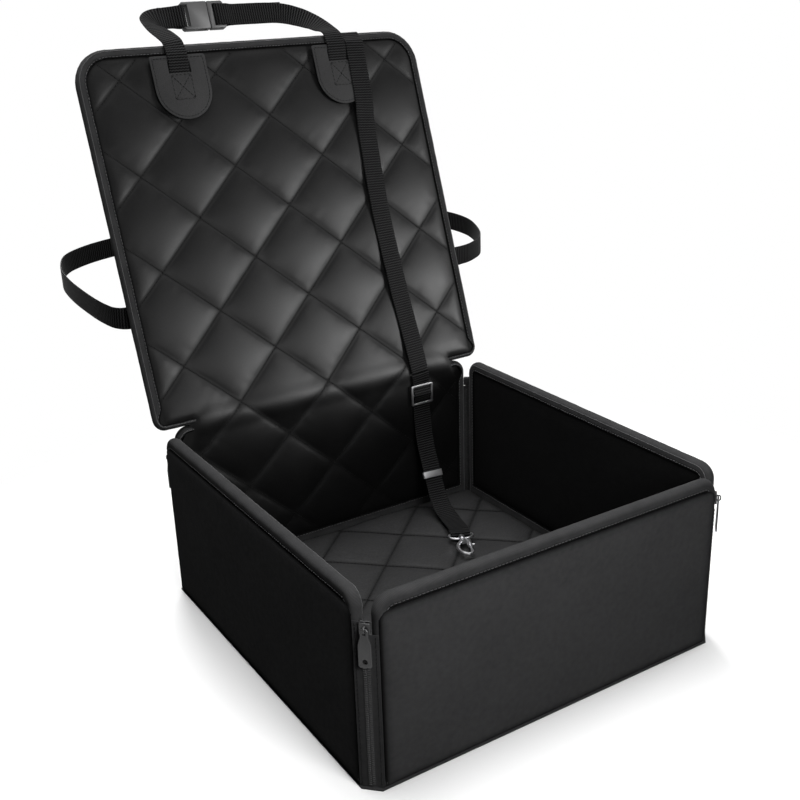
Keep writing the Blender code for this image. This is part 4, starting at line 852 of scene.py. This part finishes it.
def makeOuterCloth(name, panel, seed):
    # canvas that swells a little; on the walls it hides the tape at both ends and at the foot
    look, wraps, half, top = outerLook, name != "backrest", panel["half"], panel["top"]
    rim = panel["legs"]["head"][0] + gap
    if wraps:
        outline = roundedOutline(half - look["end"], look["foot"], top - rim, look["footRound"], look["round"], 8)
        crownEdge = outline
    else:
        core = panelLook["nose"] + 2 * gap
        outline = roundedOutline(half - core, core, top - core, panel["foot"] - core, panel["head"] - core, 8)
        crownEdge = roundedOutline(half - rim, rim - 6 * mm, top - rim, panel["foot"] - shortLeg,
                                   panel["head"] - longLeg, 8)
    bm = squareGrid(outline)
    cutAlong(bm, outline, clear=True)
    for inset in look["insets"]:
        cutAlong(bm, [(x * (1 - inset / half), y + (inset if y < top / 2 else -inset)) for x, y in crownEdge])
    for v, rise in zip(bm.verts, rises(bm, crownEdge, look["edge"])):
        x, y = v.co.x, v.co.y
        edge = look["under"]
        if wraps:
            headness = min(max((y - top + rim + look["ease"]) / look["ease"], 0), 1)
            footness = min(max((look["ease"] - y) / look["ease"], 0), 1)
            edge = look["endLevel"] + (edge - look["endLevel"]) * headness
            edge += (look["footLevel"] - edge) * footness
        slack = 0.30 * ripple(x * 7, y * 9, seed) + 0.18 * ripple(x * 22, y * 25, seed + 4)
        v.co.z = panel["base"] - edge - rise * (look["swell"] - edge + slack * mm)
    for v in newVerts(bmesh.ops.extrude_face_region(bm, geom=bm.faces[:])):
        v.co.z = max(v.co.z + look["skin"], panel["base"] - look["under"] + 0.1 * mm)

    # painted shade in the groove along the cloth's edge, by the binding
    def paintedShading(x, y):
        return paintedSeamShade(edgeDistance(crownEdge, x, y) - look["shadeFrom"], look["shadeReach"], look["paintedShade"])

    piece = pieceFrom(bm, f"{name}_outer_cloth", through(panel["at"]), cloth["canvas"], paintedShading)
    settle(piece, panel["body"], f"{name}_outer_cover")


def makeLining(name, panel, seed):
    core, skin = panelLook["nose"] + 2 * gap, panelLook["skin"]
    half, top, head = panel["half"], panel["top"], panel["head"]
    outline = roundedOutline(half - core, core, top - core, 0, head - core, 6)
    sideLeg, footEdge, headLeg = (panel["legs"][zone][1] + gap for zone in ("side", "foot", "head"))
    crownEdge = roundedOutline(half - sideLeg, footEdge, top - headLeg, 0, head - sideLeg, 6)
    low = panel["base"] + skin + 2 * gap + 4.5 * mm
    face = panel["base"] + panel["thick"] - skin - gap
    makePad(f"{name}_lining_cloth", outline, crownEdge, low, face, quiltSize["plainCrown"] + skin + gap, None,
            through(panel["at"]), seed, panel["body"], f"{name}_inner_lining")


for index, (name, panel) in enumerate(panels.items()):
    seed = 11.0 + 17.3 * index
    if panel["node"] is None:
        makeLining(name, panel, seed)
    makeBinding(name, panel, seed)
    makeOuterCloth(name, panel, seed)
    addThreads(name, through(panel["at"]), panel["body"], "rimThread")
    print("panel made:", name)
makeBackQuilt(foldLook, 80.0)


# floor: the quilted cushion, its cloth going down round the board, and the carrying sheet under it

cushion = {"halfX": 0.2102, "halfY": 0.2177, "under": 1.65 * mm, "edge": 12.5 * mm, "crown": 5.0 * mm, "node": 0.1006}
sheetLook = {"halfX": 0.225, "halfY": 0.2325, "cut": 14.5 * mm, "top": 1.5 * mm, "hem": 10 * mm, "cell": 8 * mm}


def makeCushion(look):
    x, y = look["halfX"], look["halfY"]
    outline = [(-x, -y), (x, -y), (x, y), (-x, y)]
    inner = [(a * 0.9985, b * 0.9985) for a, b in outline]
    makePad("floor_quilted_cloth", outline, inner, look["under"], look["edge"], look["crown"], look["node"], Vector,
            101.0, "tray", "floor_quilted_cushion")
    sewQuilt("floor_cushion", look["node"],
             lambda a, b: look["edge"] if abs(a) < x - gap and abs(b) < y - gap else None)
    addThreads("floor_cushion", Vector, "tray")


def makeSheet(look):  # its corners are cut off along the zips
    x, y, cut = look["halfX"], look["halfY"], look["cut"]
    edge = [(-x + cut, -y), (x - cut, -y), (x, -y + cut), (x, y - cut),
            (x - cut, y), (-x + cut, y), (-x, y - cut), (-x, -y + cut)]
    bm = squareGrid(edge, look["cell"])
    cutAlong(bm, edge, clear=True)
    for v in bm.verts:
        near = edgeDistance(edge, v.co.x, v.co.y)
        v.co.z = 0.0 if near < look["hem"] else 0.15 * mm + 0.1 * mm * ripple(v.co.x * 30, v.co.y * 30, 4.0)
    for v in newVerts(bmesh.ops.extrude_face_region(bm, geom=bm.faces[:])):
        v.co.z = look["top"]
    sheet = pieceFrom(bm, "floor_carrying_sheet", Vector, cloth["canvas"])
    settle(sheet, "tray", "floor_base_cover")


makeCushion(cushion)
makeSheet(sheetLook)
print("floor made")


# webbing straps: each route is a list of spots with the way across the strap

webSize = {"width": 26 * mm, "thick": 1.4 * mm}
webFace = [(-1, 0.35), (-0.985, 0.85), (-0.93, 1), (-0.5, 1), (0, 1), (0.5, 1), (0.93, 1), (0.985, 0.85), (1, 0.35)]
webSection = webFace + [(-a, -b) for a, b in webFace]


def makeStrap(name, route, matrix, steps, node, body=None, seed=3.0):
    centres = smoothPath([spot for spot, _ in route], steps)
    across = smoothPath([way for _, way in route], steps)
    half, thin = webSize["width"] / 2, webSize["thick"] / 2
    verts, grain = [], []
    walked = 0
    for i, centre in enumerate(centres):
        along = (centres[min(i + 1, len(centres) - 1)] - centres[max(i - 1, 0)]).normalized()
        side = (across[i] - along * across[i].dot(along)).normalized()
        face = along.cross(side)
        if i:
            walked += (centre - centres[i - 1]).length
        for a, b in webSection:
            sway = 0.25 * mm * ripple(walked * 40, a, seed)
            verts.append(matrix @ (centre + side * (a * half + 0.15 * mm * ripple(walked * 120, a * 2, seed))
                                   + face * (b * thin + sway * (1 - abs(a) * 0.3))))
            grain.append((walked, a * half, b * thin))
    piece = addPiece(name, verts, skinFaces(len(centres), len(webSection)), cloth["web"], grain)
    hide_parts(node)
    if body:
        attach(piece, body)
    print(f"{name}: {walked / mm:.0f} mm long")
    return piece


def facing(way, *spots):
    return [(spot, way) for spot in spots]


right, left, down, up = (1, 0, 0), (-1, 0, 0), (0, -1, 0), (0, 1, 0)
backFrame = panels["backrest"]["at"]
buckleSize = {"half": 28.5 * mm, "mouth": 6.5 * mm, "bar": 3.0 * mm, "slot": 5.0 * mm, "barDepth": 6.0 * mm,
              "shoulder": 6.0 * mm, "relief": 1.0 * mm}
pair = webSize["thick"] * 0.85
layer = buckleSize["barDepth"] / 2 + gap + webSize["thick"]


def buckleLoop(way, bend, tail):  # over the bar, round it and back
    slot, outside = way * buckleSize["slot"], way * (buckleSize["half"] + buckleSize["bar"])
    return [(outside + 2 * slot, pair), (outside, layer), (bend + slot / 2, layer), (bend, 0),
            (bend + slot / 2, -layer), (outside, -layer), (outside + 2 * slot, -pair), (tail, -pair)]


def socketLoop():
    size = buckleSize
    return buckleLoop(-1, -size["half"] + size["bar"] + size["slot"] / 2, -size["half"] - size["bar"] - 5 * size["slot"])


def plugLoop(tail):
    size = buckleSize
    bend = size["mouth"] + gap + size["shoulder"] + size["relief"] + size["slot"] / 2
    return buckleLoop(1, bend, size["half"] + tail)[::-1]


def loopRoute(pairs, spot, across):
    return [((spot[0] + x, spot[1], spot[2] + z), across) for x, z in pairs]


headrest = {
    "buckle": (-0.046, 0.488, -0.036), "tail": 0.082,
    "left": facing(right, (-0.108, 0.384, 0.0042), (-0.108, 0.406, 0.0042), (-0.108, 0.4105, 0.0044),
                   (-0.108, 0.417, 0.0058), (-0.108, 0.4235, 0.0072), (-0.108, 0.4320, 0.0074),
                   (-0.108, 0.441, 0.0048), (-0.109, 0.4490, 0.0022), (-0.112, 0.457, -0.0040))
    + [((-0.117, 0.467, -0.0130), (1, -0.1, 0)), ((-0.120, 0.4771, -0.0229), (1, -0.4, 0)),
       ((-0.1177, 0.4825, -0.0294), (0.87, -0.7, 0.1)), ((-0.1115, 0.4865, -0.0342), (0.45, -0.9, 0.2)),
       ((-0.103, 0.488, -0.0355), (0.1, -1, 0.2))],
    "right": facing(down, (0.020, 0.488, -0.0352), (0.045, 0.4875, -0.0350))
    + [((0.064, 0.485, -0.0335), (-0.2, -1, 0)), ((0.081, 0.4785, -0.0285), (-0.5, -0.8, 0)),
       ((0.095, 0.469, -0.0205), (-0.8, -0.5, 0)), ((0.103, 0.459, -0.0110), (-1, -0.3, 0))]
    + facing(left, (0.107, 0.4505, -0.0010), (0.108, 0.4430, 0.0042), (0.108, 0.4320, 0.0074),
             (0.108, 0.4235, 0.0072), (0.108, 0.417, 0.0058), (0.108, 0.4105, 0.0044),
             (0.108, 0.406, 0.0042), (0.108, 0.384, 0.0042)),
}
makeStrap("headrest_strap_left_web", headrest["left"] + loopRoute(socketLoop(), headrest["buckle"], down), backFrame, 6,
          "headrest_strap_left", "backrest", seed=5.0)
headrestRight = makeStrap("headrest_strap_right_web",
                          loopRoute(plugLoop(headrest["tail"]), headrest["buckle"], down) + headrest["right"], backFrame, 6,
                          "headrest_strap_right", seed=6.0)

belt = {
    "buckle": (0, 0.553, 0.3628), "tail": 0.075, "drop": 0.1, "laid": 3,
    "left": [(-0.196, 0.2744), (-0.210, 0.2742), (-0.222, 0.2735), (-0.238, 0.269), (-0.247, 0.253), (-0.254, 0.213),
             (-0.258, 0.153), (-0.254, 0.103), (-0.236, 0.058), (-0.205, 0.033), (-0.161, 0.016), (-0.100, 0.005)],
    "right": [(0.120, 0.006), (0.200, 0.023), (0.270, 0.058), (0.318, 0.113), (0.333, 0.163), (0.322, 0.208),
              (0.300, 0.246), (0.270, 0.266), (0.245, 0.2725), (0.225, 0.2740), (0.212, 0.2743), (0.200, 0.2744)],
}


def beltRoute(places, laidFirst):
    across = [(0, cos(lean), -sin(lean))] * belt["laid"] + [up] * (len(places) - belt["laid"])
    if not laidFirst:
        across.reverse()
    return [((x, -belt["drop"] * forward, forward), way) for (x, forward), way in zip(places, across)]


beltFrame = frameOf(belt["buckle"], 0)
makeStrap("seat_belt_left_web", beltRoute(belt["left"], True) + loopRoute(socketLoop(), (0, 0, 0), up), beltFrame, 7,
          "seat_belt_left", "backrest", seed=7.0)
beltRight = makeStrap("seat_belt_right_web",
                      loopRoute(plugLoop(belt["tail"]), (0, 0, 0), up) + beltRoute(belt["right"], False), beltFrame, 7,
                      "seat_belt_right", seed=8.0)

tether = {
    "upper": facing(right, (0.135, 0.400, -0.0141), (0.135, 0.425, -0.0141), (0.135, 0.440, -0.0141),
                    (0.135, 0.4455, -0.0118), (0.135, 0.4472, -0.0065), (0.135, 0.4456, -0.0012),
                    (0.135, 0.4410, 0.0014), (0.135, 0.4365, 0.0045), (0.135, 0.4320, 0.0073),
                    (0.1347, 0.424, 0.0076), (0.1335, 0.385, 0.0076), (0.132, 0.355, 0.0075),
                    (0.130, 0.335, 0.0058), (0.1275, 0.300, 0.0048), (0.124, 0.210, 0.0046),
                    (0.1265, 0.110, 0.0046), (0.131, 0.030, 0.0046), (0.132, 0.008, 0.0044),
                    (0.1326, 0.001, 0.0040), (0.133, -0.0050, 0.0031)),
    "lower": facing(right, (0.1332, -0.0046, 0.2058), (0.134, -0.0045, 0.196), (0.134, -0.0045, 0.1876),
                    (0.134, -0.0065, 0.1830), (0.134, -0.0086, 0.1787), (0.134, -0.0086, 0.1753),
                    (0.134, -0.0065, 0.1710), (0.134, -0.0045, 0.1664), (0.134, -0.0050, 0.150),
                    (0.134, -0.0085, 0.1220), (0.1336, -0.0155, 0.1), (0.1333, -0.0228, 0.0833),
                    (0.1328, -0.0273, 0.0743), (0.1322, -0.0327, 0.0637), (0.1317, -0.0372, 0.0547))
    + [((0.1304, -0.0470, 0.0405), (1, -0.05, 0)), ((0.128, -0.0615, 0.0305), (1, -0.15, 0)),
       ((0.1255, -0.0805, 0.0250), (1, -0.3, 0))],
    "hook": (0.112, 0.097, 0.0232), "hookTurn": radians(-114.8), "eyeWire": 1.75 * mm,
}
hookFrame = Matrix.Translation(tether["hook"]) @ Matrix.Rotation(tether["hookTurn"], 4, "Z")
wallFace = Matrix.Translation((0, hingeY, 0))


def eyeLoop(inner):
    reach = inner + webSize["thick"] / 2
    bend = [(reach * sin(a), reach * cos(a)) for a in (0, pi / 4, pi / 2, 3 * pi / 4, pi)]
    ends = [(-2 * webSize["width"] / 3, pair), (-webSize["width"] / 3, pair)]
    return ends + bend + [(x, -z) for x, z in reversed(ends)]


tetherUpper = makeStrap("tether_upper_web", tether["upper"], backFrame, 6, "tether_upper", seed=9.0)
eyeAcross = hookFrame.col[1].to_3d()
lowerLoop = facing(eyeAcross, *(wallFace.inverted() @ hookFrame @ Vector((x, 0, z))
                                for x, z in eyeLoop(tether["eyeWire"] + gap)))
makeStrap("tether_lower_web", tether["lower"] + lowerLoop, wallFace, 6, "tether_lower", "tray", seed=10.0)
print("straps made")


# leather patches

patch = {"spacing": 0.216, "top": 0.431, "height": 0.076, "half": 0.035, "round": 3 * mm, "thick": 1.2 * mm,
         "slotWidth": 28 * mm, "slotHeight": 14 * mm, "slotDrop": 7 * mm, "level": 5.2 * mm, "bevel": 0.3 * mm,
         "inset": 3.2 * mm, "boxLow": 0.3790, "boxHigh": 0.4080, "boxHalf": 12.5 * mm}


def patchMesh(outlines):
    data = bpy.data.curves.new("patch", "CURVE")
    data.dimensions, data.fill_mode = "2D", "BOTH"
    data.bevel_depth, data.bevel_resolution, data.offset = patch["bevel"], 2, -patch["bevel"]
    data.extrude = patch["thick"] / 2 - patch["bevel"]
    for outline in outlines:
        spline = data.splines.new("POLY")
        spline.points.add(len(outline) - 1)
        for spot, point in zip(spline.points, outline):
            spot.co = (*point, 0, 1)
        spline.use_cyclic_u = True
    item = show("patch", data)
    bpy.context.view_layer.update()
    mesh = bpy.data.meshes.new_from_object(item.evaluated_get(bpy.context.evaluated_depsgraph_get()))
    bpy.data.objects.remove(item)
    bm = bmesh.new()
    bm.from_mesh(mesh)
    bmesh.ops.remove_doubles(bm, verts=bm.verts, dist=gap / 30)
    return bm


def makePatch(place, side):
    radius, high, inset = patch["half"], patch["height"], patch["inset"]
    corner = radius - patch["round"]
    edge = arc((0, radius), radius, pi, 2 * pi, 40)
    edge += arc((corner, high - patch["round"]), patch["round"], 0, pi / 2, 5)
    edge += arc((-corner, high - patch["round"]), patch["round"], pi / 2, pi, 5)
    top, half = high - patch["slotDrop"], patch["slotWidth"] / 2
    slot = [(half, top - patch["slotHeight"]), (half, top), (-half, top), (-half, top - patch["slotHeight"])]
    spot = Matrix.Translation((side * patch["spacing"] / 2, patch["top"] - high, patch["level"] + patch["thick"] / 2))
    onBack = through(backFrame @ spot)
    piece = pieceFrom(patchMesh((edge, slot)), f"{place}_patch_leather", onBack, cloth["leather"],
                      sharp=40)
    settle(piece, "backrest", f"{place}_leather_patch")
    lift = patch["thick"] / 2 + 0.05 * mm
    row = arc((0, radius), radius - inset, pi, 2 * pi, 40)
    row += [(radius - inset, high - inset), (inset - radius, high - inset)]
    sew(f"{place}_patch", [(x, y, lift) for x, y in row], (0, 0, 1), closed=True)
    addThreads(f"{place}_patch", onBack, "backrest")


def sewCrossBox(bin_, centreX):
    # the boxed cross that holds the headrest strap's sewn end under the patch
    low, high, half = patch["boxLow"], patch["boxHigh"], patch["boxHalf"]
    level = patch["level"] + patch["thick"] + 0.05 * mm
    corners = [(centreX - half, low), (centreX + half, low), (centreX + half, high), (centreX - half, high)]
    for a, b in ((0, 1), (1, 2), (2, 3), (3, 0), (0, 2), (1, 3)):
        (x0, y0), (x1, y1) = corners[a], corners[b]
        sew(bin_, [(x0, y0, level), ((x0 + x1) / 2, (y0 + y1) / 2, level), (x1, y1, level)], (0, 0, 1))


for place, side in (("left", -1), ("right", 1)):
    makePatch(place, side)
    sewCrossBox("headrest_strap", side * patch["spacing"] / 2)
addThreads("headrest_strap", through(backFrame), "backrest")
print("patches made")


# zips

zipLook = {"tape": 0.8 * mm, "pitch": 2.4 * mm, "foot": 1.2 * mm, "park": 13 * mm, "row": 4 * mm,
           "stitches": 9.4 * mm, "top": 0.207 - fold - 0.0272, "cornerX": 0.21725, "cornerY": 0.22475,
           "section": ((0.04, 0.75), (0.94, 0.95), (1.84, 0.4), (6, 0.4), (8.2, 0.4), (12, 0.35)),  # mm out, mm up
           "tooth": ((0.25, 0.55, 0.85), (0.7, 0.75, 1.2), (2.6, 0.62, 1.2), (3.3, 0.5, 0.9)),  # mm out, long, tall
           "toothEdge": ((-1, -0.6), (-0.6, -1), (0.6, -1), (1, -0.6), (1, 0.6), (0.6, 1), (-0.6, 1), (-1, 0.6))}
noseLevel = (sqrt(5 ** 2 + 6.5 ** 2) - 5 - 6.5) / sqrt(2) * mm  # where the tape lies on the two bindings


def makeZipHalf(corner, name, side, low, high, matrix, body):
    look, verts, grain = zipLook, [], []
    rows = int((high - low) / look["row"])
    mid = noseLevel + gap + look["tape"] / 2
    section = look["section"] + tuple((x, -h) for x, h in reversed(look["section"]))

    def add(x, y, h, wave=0):
        verts.append((side * x, y, mid + h + wave))
        grain.append((side * x, y, h))

    for y in (low + (high - low) * row / rows for row in range(rows + 1)):
        for x, h in section:
            add(x * mm, y, h * mm, 0.12 * mm * ripple(y * 90, x * mm * 60, 3.0 + side))
    faces = skinFaces(rows + 1, len(section))
    tapeFaces = len(faces)
    # moulded teeth, one every pitch, half a pitch apart on the two tapes
    start = low + 2 * mm + (look["pitch"] / 2 if side > 0 else 0)
    for n in range(int((high - low - 4 * mm) / look["pitch"])):
        y, first = start + n * look["pitch"], len(verts)
        for x, wide, tall in look["tooth"]:
            for a, b in look["toothEdge"]:
                add(x * mm, y + a * wide * mm, b * tall * mm)
        faces += [tuple(first + i for i in face) for face in skinFaces(len(look["tooth"]), len(look["toothEdge"]))]
    piece = addPiece(f"{corner}_zip_{name}_half", [matrix @ Vector(v) for v in verts], faces, cloth["zip"], grain)
    piece.data.materials.append(cloth["tooth"])
    for i, face in enumerate(piece.data.polygons):
        face.material_index = 0 if i < tapeFaces else 1
    piece.data.set_sharp_from_angle(angle=radians(50))
    settle(piece, body, f"{corner}_zip_{name}_tape")
    sew(f"{corner}_{name}", [(side * look["stitches"], y, mid + 0.5 * mm)
                             for y in (low + 1 * mm, (low + high) / 2, high - 1 * mm)], (0, 0, 1))
    addThreads(f"{corner}_{name}", through(matrix), body)


corners = {"front_left": (-1, -1, -pi / 4, "front_wall", "left_wall", -1),
           "front_right": (1, -1, pi / 4, "front_wall", "right_wall", 1),
           "back_right": (1, 1, 3 * pi / 4, "tray", "right_wall", -1),
           "back_left": (-1, 1, -3 * pi / 4, "tray", "left_wall", 1)}
for corner, (sideX, sideY, turn, endBody, sideBody, side) in corners.items():
    matrix = frameOf((sideX * zipLook["cornerX"], sideY * zipLook["cornerY"], fold), turn)
    makeZipHalf(corner, "side", side, zipLook["foot"], zipLook["top"], matrix, sideBody)
    makeZipHalf(corner, "end", -side, zipLook["foot"], zipLook["top"] - zipLook["park"], matrix, endBody)
print("zips made")


# rigid pieces: the CAD shapes with their edges broken, so that they catch the light

rigidLooks = {
    "_zip_slider": {"finish": "dark", "slot": "dark_metal", "round": 0.35 * mm},
    "_zip_pull_tab": {"finish": "dark", "slot": "dark_metal", "round": 0.30 * mm},
    "_buckle_socket": {"finish": "plastic", "slot": "buckle_plastic", "round": 0.7 * mm},
    "_buckle_plug": {"finish": "plastic", "slot": "buckle_plastic", "round": 0.6 * mm},
    "tether_adjuster": {"finish": "bar", "slot": "dark_metal", "round": 0.5 * mm},
    "tether_keeper": {"finish": "steel", "slot": "bright_metal", "round": 0.25 * mm},
    "hook_": {"finish": "bright", "slot": "bright_metal", "round": 0.3 * mm},
    "_stiffener_board": {"finish": "board", "slot": "stiffener_board", "round": 0.4 * mm, "inset": 0.5 * mm},
}


def softenEdges(name, look, body):
    bm = bmesh.new()
    bm.from_mesh(frame["nodes"][name].data)
    bmesh.ops.remove_doubles(bm, verts=bm.verts, dist=0.01 * mm)
    bmesh.ops.dissolve_limit(bm, angle_limit=radians(2), verts=bm.verts, edges=bm.edges)
    sharp = [e for e in bm.edges if len(e.link_faces) == 2 and e.calc_face_angle(0) > radians(38)]
    bm.normal_update()
    for v in bm.verts:
        v.co -= v.normal * look.get("inset", 0)
    bmesh.ops.bevel(bm, geom=sharp, offset=look["round"], segments=2, profile=0.6, affect="EDGES", clamp_overlap=True)
    mesh = bpy.data.meshes.new(f"{name}_shape")
    bm.to_mesh(mesh)
    bm.free()
    mesh.materials.append(cloth[look["finish"]])
    mesh.shade_smooth()
    mesh.set_sharp_from_angle(angle=radians(32))
    piece = show(f"{name}_shape", mesh)
    settle(piece, body, name)


for body, members in frame["record"]["behaviour"]["bodies"].items():
    for name in members:
        for key, look in rigidLooks.items():
            if key in name:
                softenEdges(name, look, body)
print("rigid pieces made")


backFrame @ Vector((0.064, 0.47, -0.035))
backFrame @ Vector((0.106, 0.47, -0.010))
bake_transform(headrestRight)
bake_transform(beltRight)
backFrame @ Vector((0.133, -0.006, 0.0046))
backFrame @ Vector((0.132, 0.03, 0.0046))
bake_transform(tetherUpper)


# floor, backdrop and lights

stage = {"paper": 0.90, "glow": 0.05, "underlight": 0.05, "world": 0.03, "fadeStart": 0.45, "fadeEnd": 0.75,
         "level": -0.2 * mm, "half": 30}
white = (1, 1, 1, 1)


def makeStage(look):
    mesh = bpy.data.meshes.new("studioFloor")
    half = look["half"]
    spots = [(x * half, y * half, look["level"]) for x, y in ((-1, -1), (1, -1), (1, 1), (-1, 1))]
    mesh.from_pydata(spots, [], [(0, 1, 2, 3)])
    show("studioFloor", mesh)
    made = Finish("studioPaper", {"Roughness": 0.9, "Specular IOR Level": 0.0, "Emission Strength": look["glow"]})
    seen = made.seen()
    (x, y, _), _ = made.place()
    away = (x * x + y * y) ** 0.5
    far = ((away - look["fadeStart"]) / (look["fadeEnd"] - look["fadeStart"])).clamp()
    made.feed(Base_Color=made.tint(seen, grey(look["underlight"], 1.0), grey(look["paper"], 1.0)),
              Emission_Color=made.tint(seen, grey(0.0), white))
    glow = made.node("ShaderNodeEmission", None, {"Color": white, "Strength": 1.0})
    blend = made.node("ShaderNodeMixShader", None, {0: far * far * (3 - 2 * far) * seen,
                                                    1: Signal(made, made.shader.outputs[0]), 2: glow})
    made.plug(made.nodes["Material Output"].inputs[0], blend)
    mesh.materials.append(made.material)


def makeWorld(look):
    world = bpy.data.worlds.new("studio")
    bpy.context.scene.world = world
    world.use_nodes = True
    world.node_tree.nodes.clear()
    sky = Tree(world.node_tree)
    plain = sky.node("ShaderNodeBackground", None, {"Color": white, "Strength": look["world"]})
    seen = sky.node("ShaderNodeBackground", None, {"Color": white, "Strength": 1.0})
    mixed = sky.node("ShaderNodeMixShader", None, {0: sky.seen(), 1: plain, 2: seen})
    sky.node("ShaderNodeOutputWorld", None, {0: mixed})


lamps = {
    "topSoftbox": {"place": (-0.05, 0.35, 1.9), "aim": (0.0, 0.0, 0.1), "size": 1.5, "watts": 50},
    "frontSoftbox": {"place": (-0.12, -0.80, 0.56), "aim": (-0.02, -0.15, 0.18), "size": 0.35, "watts": 5.2},
    "glossSoftbox": {"place": (1.9, -2.2, 0.72), "aim": (0.12, 0.26, 0.33), "size": 1.0, "watts": 330, "glossOnly": True},
    "backSoftbox": {"place": (0.7, 2.3, 1.1), "aim": (0.0, 0.3, 0.3), "size": 1.2, "watts": 55},
    "sideSoftbox": {"place": (2.4, 0.1, 0.4), "aim": (0.2, 0.0, 0.15), "size": 0.6, "watts": 20},
}


def makeLamps(lamps):
    for name, lamp in lamps.items():
        data = bpy.data.lights.new(name, "AREA")
        data.shape, data.size, data.energy = "SQUARE", lamp["size"], lamp["watts"]
        item = show(name, data)
        item.visible_diffuse = not lamp.get("glossOnly", False)
        item.location = lamp["place"]
        item.rotation_mode = "QUATERNION"
        item.rotation_quaternion = (Vector(lamp["aim"]) - Vector(lamp["place"])).to_track_quat("-Z", "Y")


makeStage(stage)
makeWorld(stage)
makeLamps(lamps)
bpy.context.scene.view_settings.view_transform = "Standard"
print("stage lit")
